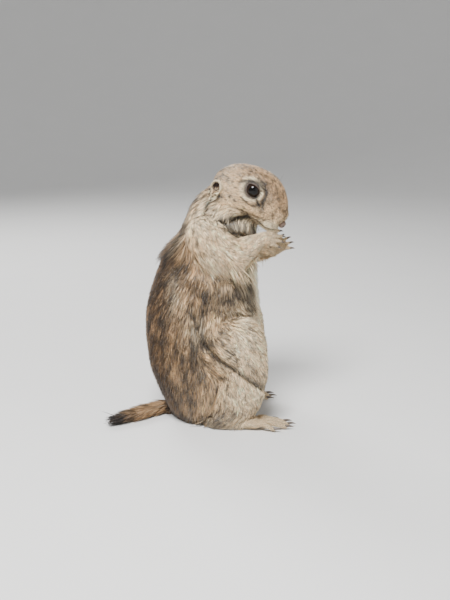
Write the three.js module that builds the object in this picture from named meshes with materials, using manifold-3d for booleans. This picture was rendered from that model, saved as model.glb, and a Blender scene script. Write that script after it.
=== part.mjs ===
// A prairie dog sitting up on its haunches, life size, with both hands held to its mouth.
// Millimetres, +Z up. The animal looks along +X and its left side is +Y. It rests on the plane Z = 0.
import * as THREE from "three";
import { mergeVertices } from "three/addons/utils/BufferGeometryUtils.js";
import Module from "manifold-3d";

const wasm = await Module();
wasm.setup();

// Driving dimensions
const GAP = 0.3; // between two nodes that touch
const WELD = 1e-4; // points closer than this are one
const LEFT = new THREE.Vector3(0, 1, 0);
const UP = new THREE.Vector3(0, 0, 1);

// The head's own frame: x to the nose, y to its left, z to its crown. It is turned to the animal's right,
// bowed and tipped to its right, in degrees.
const HEAD = { at: [26, -3, 205], turn: -26, bow: 29, tip: 6 };

// A station of a core is a point, the half width across the body, and the reach to the belly's and to the
// back's side.
const TRUNK = {
  seat: { at: [-10, 0, 10], wide: 40, belly: 38, back: 30 },
  rump: { at: [-12, 0, 34], wide: 49, belly: 47, back: 39 },
  hips: { at: [-13, 0, 62], wide: 51, belly: 50, back: 48 },
  waist: { at: [-12, 0, 92], wide: 48, belly: 51, back: 50 },
  ribs: { at: [-9, 0, 122], wide: 43, belly: 46, back: 45 },
  chest: { at: [-4, 0, 148], wide: 38, belly: 40, back: 38 },
  shoulders: { at: [-1, 0, 168], wide: 34, belly: 34, back: 28.5 },
  nape: { at: [3, 0, 185], wide: 30, belly: 30, back: 24.5 },
  skullBase: { at: [12, 0, 200], wide: 24, belly: 24, back: 19 },
};

const SKULL = {
  occiput: { at: [-20, 0, -6], wide: 17, belly: 14, back: 15 },
  ears: { at: [-12, 0, -3], wide: 23, belly: 19, back: 20.5 },
  cheeks: { at: [-2, 0, -1], wide: 26, belly: 20, back: 24 },
  brow: { at: [10, 0, 0], wide: 25, belly: 18, back: 26 },
  stop: { at: [21, 0, -1], wide: 21, belly: 16, back: 25.5 },
  bridge: { at: [31, 0, -3.5], wide: 16.5, belly: 13.5, back: 20 },
  muzzle: { at: [38.5, 0, -6], wide: 12, belly: 10.5, back: 13 },
};

// Masses of the head: its left one of each pair, and the chin. The throat is placed in the body's frame.
const MASSES = {
  whiskerPad: { at: [33, 6.5, -8.5], radii: [11, 8, 8], rows: 6 },
  cheek: { at: [-2, 12, -8], radii: [21, 15, 14.5], rows: 8 },
  brow: { at: [12.5, 15.5, 19], radii: [10, 5, 4], rows: 5 },
};
const CHIN = { at: [29, 0, -13.5], radii: [10, 7.5, 5.5], rows: 6 };
const THROAT = { at: [22, -3, 178], radii: [17, 18, 20], rows: 8 };

// The socket is a bowl that leaves the eye's front free. The lids are a ring round it, proud of its centre.
const EYE = { at: [12.2, 15.7, 13.1], radius: 6.6, look: [0.35, 0.9, 0.26] };
const SOCKET = { out: 8.5, radius: 8 };
const LIDS = { proud: 3.1, radius: 6.1, thick: 1.2 };

const EAR = { at: [-16, 23, -1.3], high: 7.5, wide: 5.8, deep: 3.4 };
// The hollow of the ear: how far it stands off the ear's own centre, and how much smaller or larger it is.
const EAR_HOLLOW = { off: [0.8, 2.4, -0.6], high: -1.6, wide: -1.4, deep: 0.6 };
const EAR_LEAN = { x: 0.25, y: 0.35, z: 0.35 };

const NOSE = { at: [44.3, 0, -6.2], wide: 4.4, high: 3.4, deep: 3 };
// One nostril, from the front of the nose to its side, measured from the nose's centre.
const NOSTRIL = {
  front: { at: [3, 1.5, -0.4], wide: 0.8, belly: 0.9, back: 0.9 },
  middle: { at: [1.5, 2.5, -0.2], wide: 0.9, belly: 1, back: 1 },
  side: { at: [0.3, 4.4, 0.2], wide: 0.5, belly: 0.5, back: 0.5 },
};

// The line of the mouth, from its left corner to under the nose.
const MOUTH = {
  corner: { at: [19, 15, -9], wide: 0.9, belly: 0.5, back: 0.5 },
  lip: { at: [31, 10.5, -11.3], wide: 1.6, belly: 0.5, back: 0.5 },
  middle: { at: [41.5, 0, -11.5], wide: 2, belly: 0.5, back: 0.5 },
};

// Each hand points along `point` from its wrist, and `lean` tips its row of fingers. The left foot stands
// further back and further in than the right one.
const SIDES = {
  right: {
    sign: -1,
    wrist: [40.5, -25, 166.5],
    point: [0.93, 0.33, -0.1],
    lean: 0.1,
    footBack: 0,
    footOut: 0,
  },
  left: {
    sign: 1,
    wrist: [51, 3, 151],
    point: [0.74, -0.3, 0.56],
    lean: 0.35,
    footBack: -13,
    footOut: -4,
  },
};

const ARM = {
  shoulder: { at: [-9, 25, 174], wide: 13, belly: 18, back: 17 },
  upper: { at: [-1, 33, 163], wide: 14.5, belly: 19, back: 18 },
  elbow: { at: [16, 36, 153], wide: 12.5, belly: 14, back: 14 },
};
const FOREARM = {
  middle: { share: 0.55, wide: 9.5, belly: 10, back: 10 },
  wrist: { share: 1, wide: 5.6, belly: 6, back: 6 },
};
// The palm's stations lie forward of the wrist, and a little to the palm's own side.
const PALM = {
  heel: { forward: -2, aside: 0, wide: 5, belly: 4.2, back: 4.2 },
  middle: { forward: 4, aside: 0.5, wide: 6.2, belly: 3.4, back: 3.4 },
  knuckles: { forward: 8, aside: 0.5, wide: 6, belly: 2.2, back: 2.2 },
};

const THIGH = {
  hip: { at: [-7, 31, 65], wide: 21, belly: 29, back: 26 },
  middle: { at: [9, 36, 73], wide: 21, belly: 34, back: 29 },
  knee: { at: [25, 38, 78], wide: 17.5, belly: 26, back: 23 },
};
const SHANK = {
  knee: { at: [26, 39, 72], wide: 16.5, belly: 18, back: 20 },
  calf: { at: [23, 40, 50], wide: 16, belly: 20.5, back: 24 },
  ankle: { at: [18, 40, 27], wide: 13.5, belly: 20, back: 24 },
  hem: { at: [14, 40, 14], wide: 11.5, belly: 17.5, back: 20 },
};
const FOOT = {
  heel: { at: [-4, 41, 5], wide: 6, belly: 6, back: 6 },
  arch: { at: [12, 40.5, 6.5], wide: 8, belly: 7, back: 7 },
  ball: { at: [33, 40, 5.5], wide: 11, belly: 6, back: 6 },
  toeRoot: { at: [38, 40, 4.4], wide: 11.5, belly: 4.6, back: 4.6 },
};

// Toes and fingers from the inner to the outer one: the spread at the root and at the tip, and the length.
const TOES = [
  { root: -9, tip: -13, long: 14 },
  { root: -4.8, tip: -7.5, long: 24 },
  { root: 0, tip: -0.5, long: 27 },
  { root: 4.8, tip: 6.7, long: 24.5 },
  { root: 9, tip: 13, long: 15 },
];
const FINGERS = [
  { root: -4.8, tip: -7, long: 9.5 },
  { root: -1.6, tip: -2.5, long: 12.5 },
  { root: 1.6, tip: 2.2, long: 12 },
  { root: 4.8, tip: 6.6, long: 9.5 },
];
const TOE = { radius: 2.6, arch: 2.2, tipHeight: 2.5 };
const FINGER = { radius: 1.8, arch: 0, curl: 3.6 };
// Where along a digit its stations lie, how much of the arch each has, and its share of the radius.
const DIGIT = [
  { share: 0, lift: 0, size: 0.97 },
  { share: 0.5, lift: 1, size: 0.88 },
  { share: 0.85, lift: 0.4, size: 1 },
  { share: 1, lift: 0, size: 0.8 },
];
const TOE_CLAW = { long: 7, radius: 1.3, ahead: 1.8, above: 0.4 };
const FINGER_CLAW = { long: 5, radius: 1, ahead: 1.2, above: 0 };
// Every claw: the share of its length that is sunk in, its drop at the tip, its taper, its depth by width.
const CLAW = { sunk: 0.25, drop: 0.3, taper: 0.8, deep: 1.25, shares: [0, 0.45, 0.8, 1] };

const TAIL = {
  root: { at: [-36, 2, 7.5], wide: 9, belly: 6, back: 5 },
  base: { at: [-50, -5, 5.5], wide: 7.5, belly: 4.5, back: 4 },
  middle: { at: [-67, -17.5, 5], wide: 8, belly: 3.8, back: 3.8 },
  tip: { at: [-84, -31.5, 4.5], wide: 5.5, belly: 3, back: 3 },
};
// Flat locks lie back along the tail, row after row, and reach past its end.
const LOCKS = { rows: 5, inRow: 5, from: 0.36, to: 0.98, long: 18, uneven: 3 };
const LOCK = [
  { share: 0, lift: 0.55, wide: 2.8, thick: 1 },
  { share: 0.5, lift: 1.2, wide: 3.6, thick: 1 },
  { share: 1, lift: 1.25, wide: 0.5, thick: 0.35 },
];

// Where the flesh is parted: the head from the neck, in the head's own frame, and the neck from the torso.
const HEAD_CUT = { way: [0.85, 0, 0.53], through: [-22.5, 0, 0] };
const NECK_CUT = { way: [0.25, 0, 1], through: [-3, 0, 172] };

const COLOUR = { coat: "#b08d63", cream: "#d8c3a0", claw: "#463c36", eye: "#0c0908", nose: "#735a4c" };

function toSolid(geometry) {
  const plain = new THREE.BufferGeometry();
  plain.setAttribute("position", geometry.getAttribute("position").clone());
  plain.setIndex(geometry.index.clone());
  const merged = mergeVertices(plain, WELD);
  const mesh = new wasm.Mesh({
    numProp: 3,
    vertProperties: merged.attributes.position.array,
    triVerts: new Uint32Array(merged.index.array),
  });
  return new wasm.Manifold(mesh);
}

function toGeometry(solid) {
  const mesh = solid.getMesh();
  const geometry = new THREE.BufferGeometry();
  geometry.setAttribute("position", new THREE.BufferAttribute(mesh.vertProperties, 3));
  geometry.setIndex(new THREE.BufferAttribute(mesh.triVerts, 1));
  geometry.computeVertexNormals();
  return geometry;
}

const join = (solids) => solids.reduce((whole, piece) => whole.add(piece));

// The largest closed surface of a solid, so that no scrap or sealed hollow is kept.
function largest(solid) {
  return solid.decompose().reduce((best, piece) => (piece.volume() > best.volume() ? piece : best));
}

const coreOf = (stations) => new THREE.CatmullRomCurve3(stations.map((s) => new THREE.Vector3(...s.at)));
const sizeOf = (stations) =>
  new THREE.CatmullRomCurve3(stations.map((s) => new THREE.Vector3(s.wide, s.belly, s.back)));

// A direction with its share along another taken out, at unit length.
const squareTo = (way, along) => way.clone().addScaledVector(along, -way.dot(along)).normalize();

// A closed skin round a curved core. Each ring stands square to the core, with its width along `across`. The
// domed ends reach past the core by `ends` times the ring's mean radius.
function loft(stations, { across = LEFT, rings, sides, ends = [0.9, 0.9], capRings = 2, grow = 0 }) {
  const core = coreOf(stations);
  const size = sizeOf(stations);
  const points = [];
  const ring = (t, reach, share) => {
    const tangent = core.getTangent(t);
    const centre = core.getPoint(t).addScaledVector(tangent, reach);
    const side = squareTo(across, tangent);
    const belly = side.clone().cross(tangent);
    const s = size.getPoint(t).addScalar(grow).multiplyScalar(share);
    for (let i = 0; i < sides; i++) {
      const angle = (2 * Math.PI * i) / sides;
      const deep = Math.sin(angle) > 0 ? s.y : s.z;
      const point = centre.clone().addScaledVector(side, s.x * Math.cos(angle));
      points.push(point.addScaledVector(belly, deep * Math.sin(angle)));
    }
  };
  const capReach = (t, bulge) => {
    const s = size.getPoint(t);
    return (bulge * (s.x + (s.y + s.z) / 2)) / 2 + grow;
  };
  const cap = (t, reach, k) => {
    const angle = (k / (capRings + 1)) * (Math.PI / 2);
    ring(t, reach * Math.sin(angle), Math.cos(angle));
  };
  const pole = (t, reach) => core.getPoint(t).addScaledVector(core.getTangent(t), reach);
  const reaches = [-capReach(0, ends[0]), capReach(1, ends[1])];
  for (let k = capRings; k >= 1; k--) cap(0, reaches[0], k);
  for (let k = 0; k <= rings; k++) ring(k / rings, 0, 1);
  for (let k = 1; k <= capRings; k++) cap(1, reaches[1], k);
  const loops = points.length / sides;
  points.push(pole(0, reaches[0]), pole(1, reaches[1]));
  const index = [];
  for (let k = 0; k < loops - 1; k++) {
    for (let i = 0; i < sides; i++) {
      const a = k * sides + i;
      const b = k * sides + ((i + 1) % sides);
      index.push(a, b, a + sides, b, b + sides, a + sides);
    }
  }
  const [firstPole, lastPole] = [loops * sides, loops * sides + 1];
  const last = (loops - 1) * sides;
  for (let i = 0; i < sides; i++) {
    const next = (i + 1) % sides;
    index.push(firstPole, next, i, lastPole, last + i, last + next);
  }
  const geometry = new THREE.BufferGeometry().setFromPoints(points).setIndex(index);
  const solid = toSolid(geometry);
  if (solid.volume() > 0) return solid;
  return toSolid(geometry.setIndex(index.reverse()));
}

// An ellipsoid.
function ball({ at, radii, rows }, turn, grow = 0) {
  const columns = Math.round(rows * 1.6);
  const geometry = new THREE.SphereGeometry(1, columns, rows);
  const size = new THREE.Vector3(...radii).addScalar(grow);
  return toSolid(geometry.applyMatrix4(new THREE.Matrix4().compose(new THREE.Vector3(...at), turn, size)));
}

// A point given for the left, on the side that the sign names.
const mirrored = (point, sign) => [point[0], point[1] * sign, point[2]];
const sided = (stations, sign) => Object.values(stations).map((s) => ({ ...s, at: mirrored(s.at, sign) }));

// The head's frame
const headAngles = [HEAD.tip, HEAD.bow, HEAD.turn].map(THREE.MathUtils.degToRad);
const headTurn = new THREE.Quaternion().setFromEuler(new THREE.Euler(...headAngles, "ZYX"));
const headFrame = new THREE.Matrix4().makeRotationFromQuaternion(headTurn).setPosition(...HEAD.at);
const onHead = (p) => new THREE.Vector3(...p).applyMatrix4(headFrame).toArray();
const headWay = (d) => new THREE.Vector3(...d).applyQuaternion(headTurn);
const headStations = (stations) => stations.map((s) => ({ ...s, at: onHead(s.at) }));
const headBall = (mass, sign, grow) =>
  ball({ ...mass, at: onHead(mirrored(mass.at, sign)) }, headTurn, grow);

function head() {
  const stations = headStations(Object.values(SKULL));
  const skull = loft(stations, { across: headWay([0, 1, 0]), rings: 9, sides: 16, ends: [0.45, 0.5] });
  const pairs = Object.values(MASSES).flatMap((mass) => [headBall(mass, -1), headBall(mass, 1)]);
  return join([skull, ...pairs, headBall(CHIN, 1)]);
}

const lookOf = (sign) => new THREE.Vector3(...mirrored(EYE.look, sign)).normalize();

// A point in front of an eye's centre, the given distance along its look.
const beforeEye = (sign, reach) =>
  new THREE.Vector3(...mirrored(EYE.at, sign)).addScaledVector(lookOf(sign), reach);

const eyeball = (sign, grow) =>
  headBall({ at: EYE.at, radii: Array(3).fill(EYE.radius), rows: 9 }, sign, grow);

function socket(sign) {
  const at = onHead(beforeEye(sign, SOCKET.out).toArray());
  return ball({ at, radii: Array(3).fill(SOCKET.radius), rows: 8 }, headTurn);
}

function lids(sign) {
  const turn = new THREE.Quaternion().setFromUnitVectors(UP, lookOf(sign));
  const geometry = new THREE.TorusGeometry(LIDS.radius, LIDS.thick, 5, 14);
  geometry.applyQuaternion(turn);
  geometry.translate(...beforeEye(sign, LIDS.proud).toArray());
  return toSolid(geometry.applyMatrix4(headFrame));
}

function ear(sign, grow) {
  const lean = new THREE.Euler(-EAR_LEAN.x * sign, EAR_LEAN.y, EAR_LEAN.z * sign);
  const turn = headTurn.clone().multiply(new THREE.Quaternion().setFromEuler(lean));
  const cup = { at: onHead(mirrored(EAR.at, sign)), radii: [EAR.wide, EAR.deep, EAR.high], rows: 9 };
  const outer = ball(cup, turn, grow);
  if (grow) return outer;
  const centre = EAR.at.map((v, i) => v + EAR_HOLLOW.off[i]);
  const radii = [EAR.wide + EAR_HOLLOW.wide, EAR.deep + EAR_HOLLOW.deep, EAR.high + EAR_HOLLOW.high];
  return outer.subtract(ball({ at: onHead(mirrored(centre, sign)), radii, rows: 8 }, turn));
}

function nose(grow) {
  const pad = headBall({ at: NOSE.at, radii: [NOSE.deep, NOSE.wide, NOSE.high], rows: 9 }, 1, grow);
  if (grow) return pad;
  const nostril = (sign) => {
    const stations = sided(NOSTRIL, sign).map((s) => ({ ...s, at: s.at.map((v, i) => v + NOSE.at[i]) }));
    return loft(headStations(stations), { across: UP, rings: 3, sides: 5, capRings: 0 });
  };
  return pad.subtract(nostril(-1)).subtract(nostril(1));
}

// The groove of the mouth, from one corner under the nose to the other.
function mouthLine() {
  const [rightCorner, rightLip] = sided({ corner: MOUTH.corner, lip: MOUTH.lip }, -1);
  const stations = headStations([rightCorner, rightLip, MOUTH.middle, MOUTH.lip, MOUTH.corner]);
  return loft(stations, { across: headWay([0.9, 0, 0.2]), rings: 12, sides: 4, capRings: 0 });
}

function upperArm(name, grow) {
  return loft(sided(ARM, SIDES[name].sign), { rings: 6, sides: 14, grow });
}

function forearm(name, grow) {
  const { sign, wrist } = SIDES[name];
  const elbow = { ...ARM.elbow, at: mirrored(ARM.elbow.at, sign) };
  const outer = Object.values(FOREARM).map((s) => ({
    ...s,
    at: elbow.at.map((v, i) => v + (wrist[i] - v) * s.share),
  }));
  return loft([elbow, ...outer], { rings: 6, sides: 12, grow, ends: [0.8, 0.4] });
}

// One finger or toe: arched in its middle and swollen at the pad of its tip.
function digit({ root, tip }, { radius, arch }, across, sides, grow) {
  const stations = DIGIT.map(({ share, lift, size }) => ({
    at: root.clone().lerp(tip, share).addScaledVector(UP, arch * lift).toArray(),
    wide: radius * size,
    belly: radius * size,
    back: radius * size,
  }));
  return loft(stations, { across, rings: 3, sides, capRings: 1, grow });
}

// A claw: a cone that bends down, sunk into the end of its digit.
function claw({ tip, way }, { long, radius, ahead, above }, across, grow) {
  const root = tip.clone().addScaledVector(way, ahead).addScaledVector(UP, above);
  const stations = CLAW.shares.map((share) => {
    const girth = radius * (1 - CLAW.taper * share);
    const point = root.clone().addScaledVector(way, long * (share - CLAW.sunk));
    point.addScaledVector(UP, -CLAW.drop * long * share * share);
    return { at: point.toArray(), wide: girth, belly: girth * CLAW.deep, back: girth * CLAW.deep };
  });
  return loft(stations, { across, rings: 2, sides: 4, capRings: 0, ends: [0.6, 0.8], grow });
}

// A hand's wrist, the way it points, the side its palm faces and the way its fingers are stacked.
function handFrame(name) {
  const { sign, wrist, point, lean } = SIDES[name];
  const forward = new THREE.Vector3(...point).normalize();
  const palm = squareTo(new THREE.Vector3(0, -sign, 0), forward);
  const down = squareTo(new THREE.Vector3(lean, 0, -1), forward);
  return { forward, palm, down, wrist: new THREE.Vector3(...wrist) };
}

function fingerLine(name, finger) {
  const { forward, palm, down, wrist } = handFrame(name);
  const reach = PALM.knuckles.forward;
  const root = wrist.clone().addScaledVector(forward, reach).addScaledVector(down, finger.root);
  const tip = wrist.clone().addScaledVector(forward, reach + finger.long).addScaledVector(down, finger.tip);
  tip.addScaledVector(palm, FINGER.curl);
  return { root, tip, way: tip.clone().sub(root).normalize() };
}

function hand(name, grow) {
  const { forward, palm, down, wrist } = handFrame(name);
  const stations = Object.values(PALM).map((s) => ({
    ...s,
    at: wrist.clone().addScaledVector(forward, s.forward).addScaledVector(palm, s.aside).toArray(),
  }));
  const pad = loft(stations, { across: down, rings: 3, sides: 10, capRings: 1, ends: [0.5, 0.5], grow });
  const fingers = FINGERS.map((finger) => digit(fingerLine(name, finger), FINGER, down, 5, grow));
  return join([pad, ...fingers]);
}

const fingerClaw = (name, finger, grow) =>
  claw(fingerLine(name, finger), FINGER_CLAW, handFrame(name).down, grow);

function thigh(name, grow) {
  return loft(sided(THIGH, SIDES[name].sign), { rings: 6, sides: 16, grow, ends: [0.9, 0.95] });
}

function shank(name, grow) {
  return loft(sided(SHANK, SIDES[name].sign), { rings: 6, sides: 14, grow, ends: [0.9, 0.7] });
}

function footPoint(name, at) {
  const { sign, footBack, footOut } = SIDES[name];
  return mirrored([at[0] + footBack, at[1] + footOut, at[2]], sign);
}

function toeLine(name, toe) {
  const { sign } = SIDES[name];
  const [x, y, z] = footPoint(name, FOOT.toeRoot.at);
  const root = new THREE.Vector3(x, y + toe.root * sign, z);
  const tip = new THREE.Vector3(x + toe.long, y + toe.tip * sign, TOE.tipHeight);
  return { root, tip, way: new THREE.Vector3(tip.x - root.x, tip.y - root.y, 0).normalize() };
}

function foot(name, grow) {
  const stations = Object.values(FOOT).map((s) => ({ ...s, at: footPoint(name, s.at) }));
  const sole = loft(stations, { rings: 6, sides: 10, grow, ends: [0.9, 0.5] });
  const toes = TOES.map((toe) => digit(toeLine(name, toe), TOE, LEFT, 6, grow));
  return join([sole, ...toes]);
}

const toeClaw = (name, toe, grow) => claw(toeLine(name, toe), TOE_CLAW, LEFT, grow);

function tailCore(grow) {
  return loft(Object.values(TAIL), { rings: 8, sides: 10, grow, ends: [0.4, 0.8], capRings: 1 });
}

// One lock, at t along the tail's core and at an angle round it.
function tailLock(t, angle, long) {
  const core = coreOf(Object.values(TAIL));
  const size = sizeOf(Object.values(TAIL)).getPoint(t);
  const tangent = core.getTangent(t);
  const side = squareTo(LEFT, tangent);
  const belly = side.clone().cross(tangent);
  const out = side.multiplyScalar(size.x * Math.cos(angle)).addScaledVector(belly, size.y * Math.sin(angle));
  const stations = LOCK.map(({ share, lift, wide, thick }) => ({
    at: core.getPoint(t).addScaledVector(tangent, long * share).addScaledVector(out, lift).toArray(),
    wide,
    belly: thick,
    back: thick,
  }));
  return loft(stations, { across: out.clone().normalize().cross(tangent), rings: 2, sides: 4, capRings: 0 });
}

function tailLocks() {
  const locks = [];
  for (let row = 0; row < LOCKS.rows; row++) {
    const t = LOCKS.from + ((LOCKS.to - LOCKS.from) * row) / (LOCKS.rows - 1);
    for (let k = 0; k < LOCKS.inRow; k++) {
      const angle = (2 * Math.PI * (k + 0.5 * (row % 2))) / LOCKS.inRow;
      locks.push(tailLock(t, angle, LOCKS.long + LOCKS.uneven * Math.sin(row * 2.3 + k * 1.7)));
    }
  }
  return locks;
}

// Every node, from the first, which keeps its whole shape, to the last, which gives way to all before it.
const nodes = new Map();
const taken = [];
function add(name, solid, grown, colour) {
  nodes.set(name, { solid, colour });
  taken.push(grown);
}
const clear = (solid) => largest(taken.reduce((left, grown) => left.subtract(grown), solid));
const aboveGround = (solid) => solid.trimByPlane([0, 0, 1], 0);

for (const [name, { sign }] of Object.entries(SIDES)) {
  TOES.forEach((toe, i) => {
    const horn = aboveGround(toeClaw(name, toe, 0));
    add(`claw_foot_${name}_${i + 1}`, horn, toeClaw(name, toe, GAP), COLOUR.claw);
  });
  FINGERS.forEach((finger, i) => {
    const horn = fingerClaw(name, finger, 0);
    add(`claw_hand_${name}_${i + 1}`, horn, fingerClaw(name, finger, GAP), COLOUR.claw);
  });
  add(`eye_${name}`, eyeball(sign, 0), eyeball(sign, GAP), COLOUR.eye);
  add(`ear_${name}`, ear(sign, 0), ear(sign, GAP), COLOUR.coat);
}
add("nose", nose(0), nose(GAP), COLOUR.nose);
for (const name of Object.keys(SIDES)) {
  add(`hand_${name}`, clear(hand(name, 0)), hand(name, GAP), COLOUR.cream);
  add(`foot_${name}`, aboveGround(clear(foot(name, 0))), foot(name, GAP), COLOUR.cream);
  add(`forearm_${name}`, clear(forearm(name, 0)), forearm(name, GAP), COLOUR.cream);
  add(`upper_arm_${name}`, clear(upperArm(name, 0)), upperArm(name, GAP), COLOUR.cream);
  add(`shank_${name}`, aboveGround(clear(shank(name, 0))), shank(name, GAP), COLOUR.coat);
  add(`thigh_${name}`, aboveGround(clear(thigh(name, 0))), thigh(name, GAP), COLOUR.coat);
}
add("tail", aboveGround(largest(join([tailCore(0), ...tailLocks()]))), tailCore(GAP), COLOUR.coat);

const sockets = join([socket(-1), socket(1)]);
const trunk = loft(Object.values(TRUNK), { rings: 12, sides: 18, ends: [0.35, 0.6] });
const throat = ball(THROAT, new THREE.Quaternion());
const whole = join([trunk, throat, head()]);
const flesh = whole.subtract(sockets).add(lids(-1)).add(lids(1)).subtract(mouthLine());
const carved = aboveGround(clear(flesh));

// Both sides of a cut through a point, half the gap away from it on each side.
function parted(solid, way, point) {
  const offset = way.dot(new THREE.Vector3(...point));
  const beyond = solid.trimByPlane(way.toArray(), offset + GAP / 2);
  const before = solid.trimByPlane(way.clone().negate().toArray(), -offset + GAP / 2);
  return [beyond, before];
}
const neckWay = new THREE.Vector3(...NECK_CUT.way).normalize();
const [above, below] = parted(carved, neckWay, NECK_CUT.through);
const [headPart, neckPart] = parted(above, headWay(HEAD_CUT.way).normalize(), onHead(HEAD_CUT.through));
nodes.set("torso", { solid: largest(below), colour: COLOUR.coat });
nodes.set("neck", { solid: largest(neckPart), colour: COLOUR.coat });
nodes.set("head", { solid: largest(headPart), colour: COLOUR.cream });

const animal = new THREE.Group();
for (const [name, { solid, colour }] of nodes) {
  const material = new THREE.MeshStandardMaterial({ color: colour, roughness: 0.9, metalness: 0 });
  const mesh = new THREE.Mesh(toGeometry(solid), material);
  mesh.name = name;
  animal.add(mesh);
}
const box = new THREE.Box3().setFromObject(animal);
animal.position.set(-(box.min.x + box.max.x) / 2, -(box.min.y + box.max.y) / 2, 0);

export default animal;
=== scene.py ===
"""A prairie dog sitting up on its haunches with both hands at its mouth, life size.

One skin is made from round forms carried along curved cores, and a coat of tapered tufts grows on it.
Shapes are worked out in millimetres in the animal's own frame (x forward, y to its left, z up) and are
written in metres.
"""

import bpy
import numpy as np
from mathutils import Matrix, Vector


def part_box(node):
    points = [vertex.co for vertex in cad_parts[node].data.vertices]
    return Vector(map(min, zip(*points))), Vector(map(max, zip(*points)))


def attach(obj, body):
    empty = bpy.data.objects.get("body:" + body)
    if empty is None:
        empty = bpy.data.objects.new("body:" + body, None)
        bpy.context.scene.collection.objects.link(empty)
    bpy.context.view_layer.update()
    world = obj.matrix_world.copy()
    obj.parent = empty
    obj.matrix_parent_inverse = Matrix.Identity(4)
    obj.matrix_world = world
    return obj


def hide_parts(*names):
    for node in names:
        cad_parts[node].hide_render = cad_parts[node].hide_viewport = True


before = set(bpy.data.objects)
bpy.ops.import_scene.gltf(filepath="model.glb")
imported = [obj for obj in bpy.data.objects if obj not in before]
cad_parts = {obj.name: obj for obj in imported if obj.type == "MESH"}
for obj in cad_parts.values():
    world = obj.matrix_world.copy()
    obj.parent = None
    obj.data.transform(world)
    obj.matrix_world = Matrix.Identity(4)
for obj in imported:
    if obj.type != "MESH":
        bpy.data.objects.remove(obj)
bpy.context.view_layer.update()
rng = np.random.default_rng(7)
MM = 0.001
FORWARD = np.array([1.0, 0.0, 0.0])
LEFT = np.array([0.0, 1.0, 0.0])
UP = np.array([0.0, 0.0, 1.0])

# The forms of the body, as the solids have them. A station is a point of the core, the half width across
# the body, and the reach to the belly's and to the back's side.
TRUNK = [
    (-10, 0, 10, 40, 38, 30),
    (-12, 0, 34, 49, 47, 39),
    (-13, 0, 62, 51, 50, 48),
    (-12, 0, 92, 48, 51, 50),
    (-9, 0, 122, 43, 46, 45),
    (-4, 0, 148, 38, 40, 38),
    (-1, 0, 168, 34, 34, 28.5),
    (3, 0, 185, 30, 30, 24.5),
    (12, 0, 200, 24, 24, 19),
]
SKULL = [
    (-20, 0, -6, 17, 14, 15),
    (-12, 0, -3, 23, 19, 20.5),
    (-2, 0, -1, 26, 20, 24),
    (10, 0, 0, 25, 18, 26),
    (21, 0, -1, 21, 16, 25.5),
    (31, 0, -3.5, 16.5, 13.5, 20),
    (38.5, 0, -6, 12, 10.5, 13),
]
UPPER_ARM = [(-9, 25, 174, 13, 18, 17), (-1, 33, 163, 14.5, 19, 18), (16, 36, 153, 12.5, 14, 14)]
THIGH = [(-7, 31, 65, 21, 29, 26), (9, 36, 73, 21, 34, 29), (25, 38, 78, 17.5, 26, 23)]
SHANK = [
    (26, 39, 72, 16.5, 18, 20),
    (23, 40, 50, 16, 20.5, 24),
    (18, 40, 27, 13.5, 20, 24),
    (14, 40, 14, 11.5, 17.5, 20),
]
FOOT = [
    (-2, 41, 5, 5, 5, 5),
    (12, 40.5, 6, 7.5, 6.5, 6.5),
    (30, 40, 5.2, 10.5, 5.2, 5.2),
    (36, 40, 4.2, 11, 4, 4),
]
TAIL = [
    (-36, 2, 7.5, 6.5, 5, 4.2),
    (-50, -5, 6, 5.5, 3.6, 3.2),
    (-67, -17.5, 5.5, 5, 2.8, 2.6),
    (-84, -31.5, 5, 2.5, 1.8, 1.8),
]

# The forearm's sizes in its middle and at the wrist. The palm's stations are how far along the hand and how
# far to the palm's side they are, then the size.
FOREARM = [(9.5, 10, 10), (5.6, 6, 6)]
PALM = [(-2, 0, 5, 4.2, 4.2), (4, 0.5, 6.2, 3.4, 3.4), (8, 0.5, 6.0, 2.2, 2.2)]

# Each toe and finger: how far to the side its root and its tip are, and its length. The fingertips curl in
# towards the palm, and the toes' tips lie this high.
TOES = [(-9, -13, 15), (-4.9, -7.5, 26), (0, -0.5, 29), (4.9, 6.7, 26.5), (9, 13, 16)]
FINGERS = [(-4.8, -7, 9.5), (-1.6, -2.5, 12.5), (1.6, 2.2, 12), (4.8, 6.6, 9.5)]
FINGER_CURL = 3.6
TOE_TIP_HEIGHT = 2.6

# Round masses: the middle, the half sizes, and the rings and sides of the grid. The throat's is in the
# body's frame, the others' in the head's, on its left.
WHISKER_PAD = ((33, 6.5, -8.5), (11, 8, 8), (28, 32))
CHEEK = ((-2, 12, -8), (21, 15, 14.5), (40, 48))
BROW = ((12.5, 15.5, 19), (10, 5, 4), (28, 32))
CHIN = ((29, 0, -13.5), (10, 7.5, 5.5), (28, 32))
THROAT = ((22, -3, 178), (20, 18, 17), (40, 48))

# What differs between the sides: how far forward and out the foot stands, the wrist, where the hand points
# and how far it leans
SIDES = {
    "right": dict(sign=-1, back=0, out=0, wrist=(40.5, -25, 166.5), point=(0.93, 0.33, -0.1), lean=0.1),
    "left": dict(sign=1, back=-13, out=-4, wrist=(51, 3, 151), point=(0.74, -0.3, 0.56), lean=0.35),
}
EYE = dict(at=(12.2, 15.7, 13.1), radius=6.6, look=(0.35, 0.9, 0.26), long=1.1, upper=0.72, lower=0.92)
EAR = dict(at=(-16, 24.2, -0.8), wide=6.2, deep=4.2, high=7.8, wall=1.5)
NOSE = dict(at=(44.4, 0, -6.2), deep=2.9, wide=4.3, high=3.3)

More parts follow.
